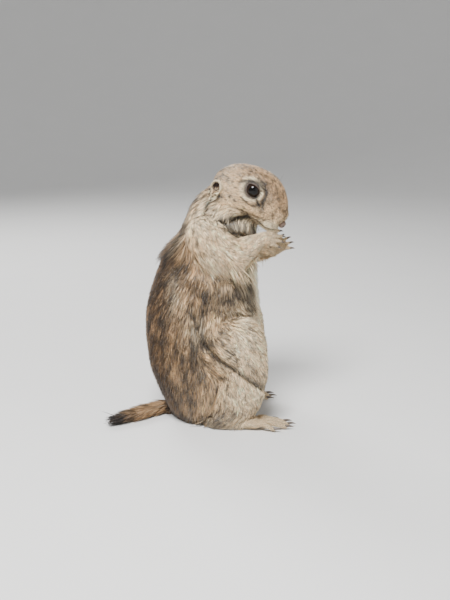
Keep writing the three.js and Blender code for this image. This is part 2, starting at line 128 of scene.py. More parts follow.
# Creases of the coat: how deep, wide and dark each is, how far off the animal's middle it starts, the parts
# that it crosses, and its line as seen from the side, in the head's or the body's frame. Their darkness is
# painted shade in the grooves; on the brow and the tear line by the eye it is partly the animal's own dark
# marks as well.
CREASES = {
    "head": [
        (1.0, 0.9, 0.7, 0, ("head",), [(14, -9), (25, -10), (31, -11.3), (37, -12), (42, -11.4)]),
        (0.8, 1.0, 0.5, 8, ("head",), [(4, -7.8), (12, -6.4), (20, -6.2), (27, -5.6), (33, -5.4)]),
        (1.4, 1.5, 1.0, 6, ("head",),
         [(-1, 14.4), (5, 18.6), (10, 20.9), (15.5, 21.2), (20.5, 19), (23.8, 15), (25, 9), (27, 4)]),
        (0.7, 0.9, 0.75, 8, ("head",), [(8, 4.2), (14, 2.4), (20, 2.6), (25.5, 6.6)]),
        (0.5, 0.8, 0.5, 4, ("head",), [(37, 7.5), (37.5, 3), (38.5, -3), (41, -9)]),
        (3.0, 2.4, 1.0, 9, ("head", "trunk"),
         [(-10, -6), (-14.4, -14), (-13, -19.5), (-7, -23), (3, -21.6), (10.5, -17), (18, -12)]),
        (0.8, 1.6, 0.9, 12, ("head", "trunk"), [(-20, 8), (-25, 1), (-23, -7), (-16, -10.5), (-10, -7)]),
        (0.5, 1.2, 0.95, 8, ("head",), [(17.5, 10), (21, 7.5), (24, 4)]),
    ],
    "body": [
        (2.8, 2.4, 0.9, 30, ("thigh", "shank", "trunk"),
         [(-18, 100), (-11, 83), (-2, 72), (8, 63), (19, 55.5), (31, 46), (43, 37)]),
        (1.6, 2.2, 0.5, 14, ("thigh", "trunk"),
         [(-16, 98), (-6, 104), (3, 110), (14, 113), (26, 110), (37, 101)]),
        (1.5, 5.0, 0.8, 10, ("trunk",), [(-15, 156), (-6, 140), (8, 134), (19, 134), (29, 138), (38, 145)]),
    ],
}


def unit(v):
    """Each vector over its own length."""
    v = np.asarray(v, float)
    return v / np.maximum(np.linalg.norm(v, axis=-1, keepdims=True), 1e-9)


def turn_about(axis, degrees):
    """The matrix that turns by an angle about x, y or z, by the right-hand rule."""
    c, s = np.cos(np.radians(degrees)), np.sin(np.radians(degrees))
    i, j = [(1, 2), (2, 0), (0, 1)]["xyz".index(axis)]
    m = np.eye(3)
    m[i, i], m[j, j], m[j, i], m[i, j] = c, c, s, -s
    return m


# The head's own frame: x to the nose, y to its left, z to its crown
HEAD_AT = np.array([26.0, -3.0, 205.0])
HEAD_TURN = turn_about("z", -26) @ turn_about("y", 29) @ turn_about("x", 6)


def on_head(p):
    """A point of the head's frame, in the animal's frame."""
    return np.asarray(p, float) @ HEAD_TURN.T + HEAD_AT


def in_head(p):
    """A point of the animal's frame, in the head's frame."""
    return (p - HEAD_AT) @ HEAD_TURN


def mirrored(p, sign):
    """The point, or the row of points, on the side of the body that the sign names."""
    p = np.array(p, float)
    p[..., 1] *= sign
    return p


# The solids were shifted so that their box stands on the origin: an eye's centre says by how much.
SHIFT = np.array(sum(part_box("eye_right"), Vector()) / 2) - on_head(mirrored(EYE["at"], -1)) * MM


def to_frame(p):
    """Millimetres in the animal's frame to metres in the part's frame."""
    return np.asarray(p) * MM + SHIFT


def curve(points, t):
    """A centripetal Catmull-Rom curve: through each point, at equal steps of t from one to the next."""
    p = np.asarray(points, float)
    last = len(p) - 1
    p = np.vstack([2 * p[0] - p[1], p, 2 * p[-1] - p[-2]])
    x = np.clip(t, 0, 1) * last
    k = np.minimum(x.astype(int), last - 1)
    w = (x - k)[:, None]
    a, b, c, d = (p[k + i] for i in range(4))
    ab, bc, cd = (np.sqrt(np.linalg.norm(v - u, axis=1))[:, None] for u, v in ((a, b), (b, c), (c, d)))
    bc = np.where(bc < 1e-4, 1, bc)
    ab = np.where(ab < 1e-4, bc, ab)
    cd = np.where(cd < 1e-4, bc, cd)
    m1 = ((b - a) / ab - (c - a) / (ab + bc) + (c - b) / bc) * bc
    m2 = ((c - b) / bc - (d - b) / (bc + cd) + (d - c) / cd) * bc
    return b + m1 * w + (3 * (c - b) - 2 * m1 - m2) * w**2 + (2 * (b - c) + m1 + m2) * w**3


def heading(points, t, step=1e-3):
    """The unit direction of the curve at t."""
    return unit(curve(points, np.minimum(t + step, 1)) - curve(points, np.maximum(t - step, 0)))


FORMS = []  # every round form of the skin: its grid of points, and its part of the body


def add_form(part, grid, flow=1):
    """Keeps a form. Its grid runs along the lie of the coat, or against it where flow is -1."""
    FORMS.append(dict(part=part, grid=grid, flow=flow))


def carry(part, stations, across=LEFT, ends=(0.9, 0.9), rings=60, sides=72, caps=10, flow=1):
    """Rings square to the core, half an ellipse to the belly and half one to the back, with domed ends."""
    s = np.asarray(stations, float)
    tilt = np.linspace(np.pi / 2, 0, caps, endpoint=False)
    t = np.concatenate([np.zeros(caps), np.linspace(0, 1, rings), np.ones(caps)])
    share = np.concatenate([np.cos(tilt), np.ones(rings), np.cos(tilt[::-1])])
    core, size = curve(s[:, :3], t), curve(s[:, 3:], t)
    mean = (size[:, 0] + (size[:, 1] + size[:, 2]) / 2) / 2
    reach = np.concatenate([-ends[0] * np.sin(tilt), np.zeros(rings), ends[1] * np.sin(tilt[::-1])]) * mean
    along = heading(s[:, :3], t)
    side = unit(across - (along @ across)[:, None] * along)
    belly = np.cross(side, along)
    angle = np.linspace(0, 2 * np.pi, sides, endpoint=False)
    wide = (size[:, 0] * share)[:, None] * np.cos(angle)
    deep = np.where(np.sin(angle) > 0, size[:, 1:2], size[:, 2:3]) * share[:, None] * np.sin(angle)
    centre = core + along * reach[:, None]
    grid = centre[:, None] + wide[..., None] * side[:, None] + deep[..., None] * belly[:, None]
    add_form(part, grid, flow)


def ball_angles(rings, sides, pole=0.0):
    """The angles of a ball's grid: from so near its front pole to its back one, and round its axis."""
    down = np.linspace(pole, np.pi - pole, rings)
    around = np.linspace(0, 2 * np.pi, sides, endpoint=False)
    return np.meshgrid(down, around, indexing="ij")


def swell(part, mass, turn, sign=None):
    """An ellipsoid with its poles on its own x axis, on the head where a side of it is named."""
    centre, radii, (rings, sides) = mass
    if sign is not None:
        centre = on_head(mirrored(centre, sign))
    v, u = ball_angles(rings, sides)
    ball = np.stack([np.cos(v), np.sin(v) * np.cos(u), np.sin(v) * np.sin(u)], axis=-1)
    add_form(part, (ball * np.asarray(radii)) @ turn.T + centre)


def ear_cup(sign):
    """A shallow bowl about the ear's own y axis: the outside from its pole to the rim, then the inside."""
    turn = HEAD_TURN @ turn_about("x", -14 * sign) @ turn_about("y", 20) @ turn_about("z", 20 * sign)
    rim = np.radians(112)
    outside = np.linspace(0, rim, 16)
    inside = outside[::-1]
    angle = np.concatenate([outside, inside])
    wall = np.concatenate([np.zeros(16), np.full(16, EAR["wall"])])
    u = np.linspace(0, 2 * np.pi, 40, endpoint=False)
    flat = np.sin(angle)[:, None]
    across = flat * (EAR["wide"] - wall)[:, None] * np.cos(u)
    high = flat * (EAR["high"] - wall)[:, None] * np.sin(u)
    deep = (-(EAR["deep"] - wall) * np.cos(angle))[:, None] * np.ones_like(u) * sign
    grid = np.stack([across, deep, high], axis=-1) @ turn.T + on_head(mirrored(EAR["at"], sign))
    add_form("ear", grid)


def digit(part, root, tip, arch, radius, across):
    """A finger or a toe: arched in its middle, swollen at the knuckle and at the pad of its tip."""
    share = np.array([0, 0.3, 0.55, 0.82, 1])
    lift = np.array([0, 1, 0.9, 0.35, 0]) * arch
    size = np.array([1, 0.88, 0.98, 0.86, 0.8]) * radius
    core = root + (tip - root) * share[:, None] + UP * lift[:, None]
    carry(part, np.hstack([core, np.tile(size[:, None], 3)]), across, rings=24, sides=24, caps=6)


def hand_frame(side):
    """The hand's forward, palm and down directions, and its wrist."""
    s = SIDES[side]
    forward = unit(s["point"])
    palm = unit(np.array([0, -s["sign"], 0]) + forward * s["sign"] * forward[1])
    down = np.array([s["lean"], 0, -1.0])
    return forward, palm, unit(down - forward * (down @ forward)), np.array(s["wrist"], float)


def finger_line(side, finger):
    """Where a finger starts and ends."""
    forward, palm, down, wrist = hand_frame(side)
    root, tip, long = finger
    along = PALM[-1][0]
    start = wrist + forward * along + down * root
    return start, wrist + forward * (along + long) + down * tip + palm * FINGER_CURL


def foot_stations(side):
    """The stations of the foot on its side of the body."""
    s = SIDES[side]
    return mirrored(np.array(FOOT, float) + [s["back"], s["out"], 0, 0, 0, 0], s["sign"])


def toe_line(side, toe):
    """Where a toe starts and ends."""
    sign = SIDES[side]["sign"]
    root, tip, long = toe
    start = foot_stations(side)[-1, :3]
    return start + LEFT * root * sign, np.array([start[0] + long, start[1] + tip * sign, TOE_TIP_HEIGHT])


def headed(stations):
    """Stations of the head's frame, in the animal's frame."""
    rows = np.array(stations, float)
    rows[:, :3] = on_head(rows[:, :3])
    return rows


def build_forms():
    """All the forms whose union is the animal."""
    carry("trunk", TRUNK, ends=(0.35, 0.6), rings=110, sides=128, flow=-1)
    carry("head", headed(SKULL), HEAD_TURN[:, 1], ends=(0.45, 0.5), rings=70, sides=96, flow=-1)
    for sign in (-1, 1):
        for mass in (WHISKER_PAD, CHEEK, BROW):
            swell("head", mass, HEAD_TURN, sign)
        ear_cup(sign)
    swell("head", CHIN, HEAD_TURN, 1)
    swell("trunk", THROAT, turn_about("y", -90))
    for name, side in SIDES.items():
        sign = side["sign"]
        upper_arm = mirrored(UPPER_ARM, sign)
        forward, palm, down, wrist = hand_frame(name)
        elbow = upper_arm[-1]
        middle = elbow[:3] + (wrist - elbow[:3]) * 0.55
        carry("upper_arm", upper_arm)
        carry("forearm", [elbow, (*middle, *FOREARM[0]), (*wrist, *FOREARM[1])], ends=(0.8, 0.4))
        stations = [(*(wrist + forward * along + palm * aside), *size) for along, aside, *size in PALM]
        carry("hand", stations, down, (0.5, 0.5), 24, 32, 6)
        for finger in FINGERS:
            digit("hand", *finger_line(name, finger), 0.6, 1.65, down)
        carry("thigh", mirrored(THIGH, sign), ends=(0.9, 0.95))
        carry("shank", mirrored(SHANK, sign), ends=(0.9, 0.7))
        carry("foot", foot_stations(name), ends=(0.9, 0.5), rings=36, sides=36)
        for toe in TOES:
            digit("foot", *toe_line(name, toe), 2.2, 2.15, LEFT)
    carry("tail", TAIL, ends=(0.4, 0.8), rings=60, sides=40)


def grid_faces(rings, sides):
    """Four-cornered faces of a grid that closes on itself sideways, with both ends filled at a pole."""
    k = np.arange(rings - 1)[:, None] * sides
    i = np.arange(sides)
    a, b = k + i, k + (i + 1) % sides
    return np.stack([a, b, b + sides, a + sides], axis=-1).reshape(-1, 4)


def outward(verts, faces):
    """The faces, of any one number of corners, turned round if their closed surface is inside out."""
    away = verts - verts.mean(axis=0)
    first, *fan = (away[faces[:, i]] for i in range(faces.shape[1]))
    volume = sum(np.einsum("ij,ij->", first, np.cross(b, c)) for b, c in zip(fan, fan[1:]))
    return faces if volume > 0 else faces[:, ::-1]


def placed(name, data):
    """A piece, a lamp or the camera, put into the scene."""
    piece = bpy.data.objects.new(name, data)
    bpy.context.scene.collection.objects.link(piece)
    return piece


def write_mesh(name, verts, faces):
    """A mesh of equal-sided faces at the part's own place, in metres."""
    mesh = bpy.data.meshes.new(name)
    faces = np.ascontiguousarray(faces, dtype=np.int32)
    corners = faces.shape[1]
    mesh.vertices.add(len(verts))
    mesh.vertices.foreach_set("co", to_frame(verts).astype(np.float32).ravel())
    mesh.loops.add(faces.size)
    mesh.loops.foreach_set("vertex_index", faces.ravel())
    mesh.polygons.add(len(faces))
    mesh.polygons.foreach_set("loop_start", np.arange(0, faces.size, corners, dtype=np.int32))
    mesh.polygons.foreach_set("loop_total", np.full(len(faces), corners, dtype=np.int32))
    mesh.polygons.foreach_set("use_smooth", np.ones(len(faces), bool))
    mesh.update(calc_edges=True)
    return placed(name, mesh)


def read_mesh(mesh):
    """The points, in millimetres of the animal's frame, the faces' corners and the edges of a mesh."""
    verts = np.empty(len(mesh.vertices) * 3, np.float32)
    mesh.vertices.foreach_get("co", verts)
    corners = np.empty(len(mesh.loops), np.int32)
    mesh.loops.foreach_get("vertex_index", corners)
    edges = np.empty(len(mesh.edges) * 2, np.int32)
    mesh.edges.foreach_get("vertices", edges)
    return (verts.reshape(-1, 3) - SHIFT) / MM, corners, edges.reshape(-1, 2)


def applied(piece, kind, **settings):
    """The mesh of a piece with one modifier applied, and the piece taken away."""
    modifier = piece.modifiers.new(kind, kind)
    for key, value in settings.items():
        setattr(modifier, key, value)
    mesh = bpy.data.meshes.new_from_object(piece.evaluated_get(bpy.context.evaluated_depsgraph_get()))
    bpy.data.objects.remove(piece)
    return mesh


def vertex_normals(verts, quads):
    """The mean of the faces' normals round each point."""
    a, b, c, d = (verts[quads[:, i]] for i in range(4))
    face = np.cross(c - a, d - b)
    total = [np.bincount(quads.ravel(), np.repeat(face[:, i], 4), len(verts)) for i in range(3)]
    return unit(np.stack(total, axis=-1))


def spread(values, edges, weight, rounds):
    """Each value drawn towards the mean of its neighbours', by its own weight, so many times."""
    count = len(values)
    both = np.concatenate([edges, edges[:, ::-1]])
    degree = np.bincount(both[:, 0], minlength=count)[:, None]
    for _ in range(rounds):
        near = [np.bincount(both[:, 0], values[both[:, 1], i], count) for i in range(values.shape[1])]
        values = values + weight * (np.stack(near, axis=-1) / degree - values)
    return values


# The coat of each part: length, width, how deep the skin lies under the tips, tufts in a square millimetre
# and how much the skin is smoothed
PARTS = {
    "trunk": dict(long=11.5, wide=0.85, inset=2.4, dense=0.8, smooth=1.0),
    "head": dict(long=3.8, wide=0.42, inset=0.9, dense=2.6, smooth=0.3),
    "ear": dict(long=1.5, wide=0.26, inset=0.15, dense=3.4, smooth=0.1),
    "upper_arm": dict(long=8.0, wide=0.7, inset=1.8, dense=1.2, smooth=0.9),
    "forearm": dict(long=5.5, wide=0.6, inset=1.2, dense=1.6, smooth=0.6),
    "hand": dict(long=1.9, wide=0.24, inset=0.2, dense=5.0, smooth=0.1),
    "thigh": dict(long=8.5, wide=0.75, inset=2.0, dense=0.95, smooth=0.8),
    "shank": dict(long=8.0, wide=0.75, inset=1.8, dense=1.0, smooth=0.7),
    "foot": dict(long=1.7, wide=0.28, inset=0.25, dense=3.6, smooth=0.1),
    "tail": dict(long=15, wide=0.8, inset=0, dense=1.6, smooth=0.4),
}
PART_NAMES = list(PARTS)
VOXEL = 0.72  # the skin's fineness before it is thinned


def by_part(part):
    """For each part's name, which points are on it."""
    return {name: part == i for i, name in enumerate(PART_NAMES)}


def sample_forms():
    """Every form's points, with two directions on the surface, a place on the form's chart and the part."""
    rows = {key: [] for key in ("point", "round", "along", "chart", "part", "form")}
    for number, form in enumerate(FORMS):
        grid, flow = form["grid"], form["flow"]
        rings, sides = grid.shape[:2]
        around = (np.roll(grid, -1, axis=1) - np.roll(grid, 1, axis=1)) * sides / 2
        along = np.gradient(grid, axis=0) * (rings - 1)
        v, u = np.meshgrid(np.arange(rings) / (rings - 1), np.arange(sides) / sides, indexing="ij")
        rows["point"].append(grid.reshape(-1, 3))
        rows["round"].append(around.reshape(-1, 3))
        rows["along"].append((along * flow).reshape(-1, 3))
        rows["chart"].append(np.stack([u.ravel(), (v if flow > 0 else 1 - v).ravel()], axis=-1))
        rows["part"].append(np.full(rings * sides, PART_NAMES.index(form["part"])))
        rows["form"].append(np.full(rings * sides, number))
    return {key: np.concatenate(value) for key, value in rows.items()}


def nearest(points, queries, cell=3.0):
    """The index of the nearest point to each query, found in the 27 boxes of a grid round it."""
    low = np.minimum(points.min(axis=0), queries.min(axis=0)) - 2 * cell

    def box_number(places, step):
        box = ((places - low) / cell).astype(np.int64) + step
        return (box[:, 0] * 4096 + box[:, 1]) * 4096 + box[:, 2]

    numbers = box_number(points, 0)
    order = np.argsort(numbers, kind="stable")
    numbers = numbers[order]
    best, index = np.full(len(queries), np.inf), np.zeros(len(queries), int)
    for step in np.stack(np.meshgrid(*[(-1, 0, 1)] * 3), axis=-1).reshape(-1, 3):
        wanted = box_number(queries, step)
        first, last = np.searchsorted(numbers, wanted), np.searchsorted(numbers, wanted, side="right")
        for k in range((last - first).max()):
            live = np.nonzero(first + k < last)[0]
            candidate = order[first[live] + k]
            gap = ((points[candidate] - queries[live]) ** 2).sum(axis=1)
            closer = gap < best[live]
            best[live[closer]], index[live[closer]] = gap[closer], candidate[closer]
    return index


def make_skin():
    """The union of the forms by voxels, smoothed where the body is, and set in by the coat's depth."""
    verts, faces, start = [], [], 0
    for form in FORMS:
        rings, sides = form["grid"].shape[:2]
        points = form["grid"].reshape(-1, 3)
        verts.append(points)
        faces.append(outward(points, grid_faces(rings, sides)) + start)
        start += len(points)
    rough = write_mesh("rough", np.concatenate(verts), np.concatenate(faces))
    mesh = applied(rough, "REMESH", mode="VOXEL", voxel_size=VOXEL * MM)
    points, corners, edges = read_mesh(mesh)
    quads = corners.reshape(-1, 4)
    forms = sample_forms()
    index = nearest(forms["point"], points)
    part = forms["part"][index]
    looks = {key: np.array([PARTS[name][key] for name in PART_NAMES])[part] for key in PARTS["trunk"]}
    smooth = spread(looks["smooth"][:, None], edges, 0.5, 10)
    points = spread(points, edges, 0.6 * smooth, 40)
    depth = spread(looks["inset"][:, None], edges, 0.5, 30)
    offset = points - forms["point"][index]
    ways = [forms[key][index] for key in ("round", "along")]
    slip = [(offset * way).sum(axis=1) / np.maximum((way**2).sum(axis=1), 1) for way in ways]
    chart = forms["chart"][index] + np.clip(np.stack(slip, axis=-1), -0.02, 0.02)
    flow = spread(unit(forms["along"][index]), edges, 0.7, 12)
    points = points - vertex_normals(points, quads) * depth
    points[:, 2] = np.maximum(points[:, 2], 0.1)
    return dict(points=points, quads=quads, edges=edges, part=part, looks=looks, chart=chart, flow=flow,
                form=forms["form"][index], normal=vertex_normals(points, quads))


def smooth_step(low, high, x):
    """From 0 at the low value to 1 at the high one, level at both."""
    t = np.clip((x - low) / (high - low), 0, 1)
    return t * t * (3 - 2 * t)


def mix(a, b, share):
    """Each value of a drawn towards b by its share."""
    return a + (b - a) * (share[..., None] if np.ndim(share) and np.ndim(b) else share)


GRAIN = rng.random((64, 64))


def grain(chart, around, along):
    """Smooth noise on a chart: random values at whole steps, blended between them, that meets all round."""
    x, y = chart[:, 0] * around, chart[:, 1] * along
    i, j = np.floor(x).astype(int), np.floor(y).astype(int)
    a, b = smooth_step(0, 1, x - i), smooth_step(0, 1, y - j)
    corner = [GRAIN[(i + p) % around % 64, (j + q) % 64] for p in (0, 1) for q in (0, 1)]
    return (corner[0] * (1 - b) + corner[1] * b) * (1 - a) + (corner[2] * (1 - b) + corner[3] * b) * a


def eye_frame(sign):
    """The eye's centre, the way it looks, and the long and the short axis of its opening."""
    look = unit(HEAD_TURN @ mirrored(EYE["look"], sign))
    along = HEAD_TURN @ np.array([1.0, 0.0, -0.3])
    along = unit(along - look * (along @ look))
    return on_head(mirrored(EYE["at"], sign)), look, along, np.cross(look, along) * -sign


def opening(angle):
    """The half angle of the lids' opening: flatter above than below, with drawn out corners."""
    short = np.where(np.sin(angle) > 0, EYE["upper"], EYE["lower"])
    ellipse = 1 / np.sqrt((np.cos(angle) / EYE["long"]) ** 2 + (np.sin(angle) / short) ** 2)
    return ellipse + 0.12 * np.abs(np.cos(angle)) ** 12


def past_opening(points, sign):
    """How far points lie outside the lids' opening, seen along the look, and which way leads out of it."""
    centre, look, along, across = eye_frame(sign)
    away = points - centre
    out = away - look * (away @ look)[:, None]
    edge = EYE["radius"] * np.sin(opening(np.arctan2(away @ across, away @ along)))
    return np.where(away @ look > -5, np.linalg.norm(out, axis=1) - edge, 99), unit(out)


def side_gap(points, line):
    """The distance to a line as seen from the side, in the plane of x and z."""
    line = curve(line, np.linspace(0, 1, 40))
    return np.sqrt(((points[:, None, ::2] - line) ** 2).sum(axis=-1)).min(axis=1)


def sculpt_face():
    """The sockets of the eyes, and the mouth and the folds, pressed into the skin as soft grooves."""
    p = skin["points"]
    for sign in (-1, 1):
        centre = eye_frame(sign)[0]
        near = np.nonzero(np.linalg.norm(p - centre, axis=1) < 14)[0]
        away = p[near] - centre
        reach = np.linalg.norm(away, axis=1)
        sunk = 1 - smooth_step(0.3, 3.0, past_opening(p[near], sign)[0])
        reach_now = reach + (np.minimum(reach, EYE["radius"] - 1) - reach) * sunk
        p[near] = centre + away * (reach_now / reach)[:, None]
    p -= skin["normal"] * creases(p, skin["part"])[0][:, None]


def creases(p, part):
    """How deep the creases of the coat are at points of the skin, and how dark their painted shade is."""
    depth, shade = np.zeros((2, len(p)))
    for q, rows in ((in_head(p), CREASES["head"]), (p, CREASES["body"])):
        for deep, wide, dark, off, names, line in rows:
            crossed = np.isin(part, [PART_NAMES.index(name) for name in names])
            near = np.nonzero(crossed & (np.abs(q[:, 1]) > off))[0]
            fade = smooth_step(0, 3, np.abs(q[near, 1]) - off) if off else 1
            hollow = fade * np.exp(-((side_gap(q[near], line) / wide) ** 2))
            depth[near] += deep * hollow
            shade[near] = np.maximum(shade[near], dark * hollow)
    return depth, 0.94 * shade


# Colours of the coat, as linear red, green and blue
RUST = np.array([0.21, 0.12, 0.056])
BUFF = np.array([0.4, 0.255, 0.128])
STRAW = np.array([0.62, 0.44, 0.25])
CREAM = np.array([0.77, 0.625, 0.42])
SOOT = np.array([0.036, 0.025, 0.018])
BARE = np.array([0.17, 0.1, 0.078])

# Patches seen from the side: the middle, the half sizes and how pale or dark each is. The pale ones are the
# middle of the thigh, the shin and two on the flank. The dark ones are painted shade at the hem over the
# heel, on the chest and in the place below the arm, and a darker lower back.
PATCHES = {
    "pale": [(24, 84, 17, 18, 0.8), (27, 38, 14, 8, 0.85), (-15, 100, 9, 12, 0.6), (-29, 126, 7, 15, 0.6)],
    "dark": [(4, 11, 22, 11, 0.65), (32, 118, 12, 20, 0.4), (12, 129, 24, 8, 0.65), (-38, 44, 20, 24, 0.4)],
}


def body_colour(p, chart):
    """Rust down the back, buff on the flanks and cream on the belly, with darker streaks along the lie."""
    core = curve(np.array(TRUNK, float)[:, :3], np.linspace(0, 1, 60))
    turn = np.arctan2(np.abs(p[:, 1]), np.interp(p[:, 2], core[:, 2], core[:, 0]) - p[:, 0])
    edge = 0.25 * (grain(chart, 14, 5) - 0.5) - 0.45 * smooth_step(130, 190, p[:, 2])
    colour = mix(RUST, BUFF, smooth_step(0.5, 1.5, turn - edge))
    colour = mix(colour, STRAW, smooth_step(1.3, 2.0, turn - edge) * 0.8)
    colour = mix(colour, CREAM, smooth_step(1.9, 2.6, turn - edge))
    streak = grain(chart, 60, 10) * 0.6 + grain(chart, 22, 6) * 0.4
    depth = mix(1.0, 0.35, smooth_step(1.7, 2.5, turn))
    return colour * (1 + depth * (streak - 0.52) * 1.9)[:, None]


def head_colour(p, chart):
    """Brown on the crown and the bridge of the nose, straw on the cheeks, cream on lips and eye rings."""
    x, y, z = in_head(p).T
    y = np.abs(y)
    crown = smooth_step(4, 27, z - 0.28 * y + 0.22 * np.maximum(x, 0) + 3 * grain(chart, 12, 6))
    colour = mix(STRAW, mix(RUST, BUFF, 0.45), crown * 0.85)
    colour = mix(colour, CREAM, smooth_step(-4, -14, z) * 0.85)
    colour = mix(colour, CREAM, smooth_step(28, 37, x) * smooth_step(-1, -8, z))
    dusk = np.exp(-(((x - 27) / 4.5) ** 2) - ((z - 10) / 6) ** 2) * smooth_step(6, 11, y)
    colour = colour * (1 - 0.45 * dusk)[:, None]
    for sign in (-1, 1):
        past = past_opening(p, sign)[0]
        colour = mix(colour, CREAM * 1.08, smooth_step(5.4, 3.8, past) * 0.8)
        colour = mix(colour, SOOT * 1.4, smooth_step(2.8, 1.6, past) * 0.93)
    return colour * (0.8 + 0.36 * grain(chart, 46, 15))[:, None]


def markings(p, part, chart):
    """The colour of the coat at points of the skin. The coat and the skin share it. Painted shade darkens
    the ear's hollow, the dark patches and the throat under the jaw.
    """
    body, head = body_colour(p, chart), head_colour(p, chart)
    colour = body.copy()
    is_part = by_part(part)
    q = in_head(p)

    def paint(names, colours):
        """Gives the named parts their colours."""
        for name in names:
            colour[is_part[name]] = colours[is_part[name]]

    nape = smooth_step(-40, -8, q[:, 0]) * smooth_step(158, 190, p[:, 2])
    paint(["head"], mix(body, head, np.maximum(nape, 0.6)))
    paint(["trunk"], mix(body, head, nape))
    # Cream outside; the ear's hollow is bare skin, darkened far below its own colour as painted shade
    paint(["ear"], mix(CREAM, BARE * 0.3, smooth_step(0.54, 0.66, chart[:, 1])))
    shade = grain(chart, 26, 9)
    arm = mix(STRAW, CREAM, shade * 0.8)
    paint(["forearm", "hand", "foot"], arm)
    reach = smooth_step(0.15, 0.6, chart[:, 1] + 0.3 * (shade - 0.5))
    paint(["upper_arm"], mix(mix(body, head, nape), arm, reach))
    paint(["thigh", "shank"], mix(body, arm, smooth_step(-6, 16, p[:, 0]) * 0.7))
    heel = is_part["foot"] & (heel_share(p) > 0.4)
    low = is_part["trunk"] | is_part["thigh"] | is_part["shank"] | heel
    beside = low * smooth_step(8, 18, np.abs(p[:, 1]))
    colour = mix(colour, CREAM, patches(p, "pale") * beside * mix(0.6, 1.0, shade))
    # Dark patches: painted shade at the hem, on the chest and below the arm; the lower back darker
    colour = colour * (1 - patches(p, "dark") * beside)[:, None]
    # Painted shade under the jaw: the trunk just below the head is darkened
    painted_jaw_shade = is_part["trunk"] * smooth_step(-14, -19, q[:, 2]) * smooth_step(-8, 4, q[:, 0])
    colour = colour * (1 - 0.65 * painted_jaw_shade * smooth_step(160, 172, p[:, 2]))[:, None]
    paint(["tail"], mix(mix(RUST, BUFF, 0.5), SOOT, smooth_step(0.5, 0.8, chart[:, 1])))
    return np.clip(colour, 0.01, 0.95)


def patches(p, kind):
    """How much of the pale or the dark patches is at points of the body."""
    x, z = p[:, 0], p[:, 2]
    total = 0
    for at, up, wide, high, much in PATCHES[kind]:
        total = total + much * np.exp(-(((x - at) / wide) ** 2) - ((z - up) / high) ** 2)
    return np.clip(total, 0, 1)


def heel_share(p):
    """From 0 at the front of the foot to 1 at its heel."""
    return smooth_step(28, 14, p[:, 0] - np.where(p[:, 1] > 0, SIDES["left"]["back"], 0))


def steer(p, normal, flow, part):
    """The lie of the coat: down on thighs, forward on shanks, hanging below the arms, away from the eyes."""
    is_part = by_part(part)
    flow = flow - UP * (is_part["thigh"] * 1.2)[:, None]
    hem = smooth_step(30, 10, p[:, 2]) * is_part["shank"]
    ahead = 0.4 * is_part["shank"] - hem * smooth_step(34, 18, p[:, 0])
    flow = flow + FORWARD * ahead[:, None]
    heel = heel_share(p) * is_part["foot"]
    flow = mix(flow, np.array([-1.0, 0, -0.45]) + LEFT * np.sign(p[:, 1:2]) * 0.25, heel)
    under = smooth_step(0.1, -0.6, normal[:, 2]) * (is_part["forearm"] | is_part["upper_arm"])
    flow = flow - UP * (under * 1.6)[:, None]
    for sign in (-1, 1):
        past, out = past_opening(p, sign)
        flow = flow + out * (0.8 * np.exp(-np.maximum(past, 0) / 3) * is_part["head"])[:, None]
    return unit(flow - normal * np.einsum("ij,ij->i", flow, normal)[:, None])


def scatter():
    """The roots of the coat: points of the skin's faces, as many to a square millimetre as the part asks."""
    p, quads = skin["points"], skin["quads"]
    corner = [p[quads[:, i]] for i in range(4)]
    area = np.linalg.norm(np.cross(corner[2] - corner[0], corner[3] - corner[1]), axis=1) / 2
    wanted = np.cumsum(area * skin["looks"]["dense"][quads[:, 0]])
    ticket = np.arange(int(wanted[-1])) + rng.random(int(wanted[-1]))
    face = quads[np.minimum(np.searchsorted(wanted, ticket), len(quads) - 1)]
    a, b = rng.random((2, len(face), 1))
    share = [(1 - a) * (1 - b), a * (1 - b), a * b, (1 - a) * b]

    def blend(values):
        """The corners' values, mixed by how near each corner is."""
        return sum(w * values[face[:, i]] for i, w in enumerate(share))

    roots = dict(point=blend(p), normal=unit(blend(skin["normal"])), flow=blend(skin["flow"]))
    roots["part"], roots["chart"] = skin["part"][face[:, 0]], skin["chart"][face[:, 0]]
    roots["form"] = skin["form"][face[:, 0]]
    for key in ("long", "wide", "inset"):
        roots[key] = blend(skin["looks"][key][:, None])[:, 0]
    return roots


TUFTS_IN_LOCK = 11  # on average
LOCK_REACH = 5  # how far from its middle a lock still draws a tuft


def longer_places(roots, is_part):
    """Where the coat is longer: below the arms, in the ruff, at the shank's hem, the heel and the chin."""
    p, normal = roots["point"], roots["normal"]
    q = in_head(p)
    under = smooth_step(0.0, -0.7, normal[:, 2]) * (is_part["forearm"] | is_part["upper_arm"])
    under = np.where(is_part["forearm"], under * smooth_step(0.9, 0.5, roots["chart"][:, 1]), under)
    behind = is_part["trunk"] * smooth_step(-0.2, -0.8, normal[:, 0])
    ruff = behind * np.exp(-(((p[:, 2] - 164) / 8) ** 2))
    hem = is_part["shank"] * smooth_step(26, 8, p[:, 2])
    heel = heel_share(p) * is_part["foot"]
    beard = is_part["trunk"] * smooth_step(-14, -18, q[:, 2]) * smooth_step(0, 10, q[:, 0])
    return under, ruff, hem, heel, beard


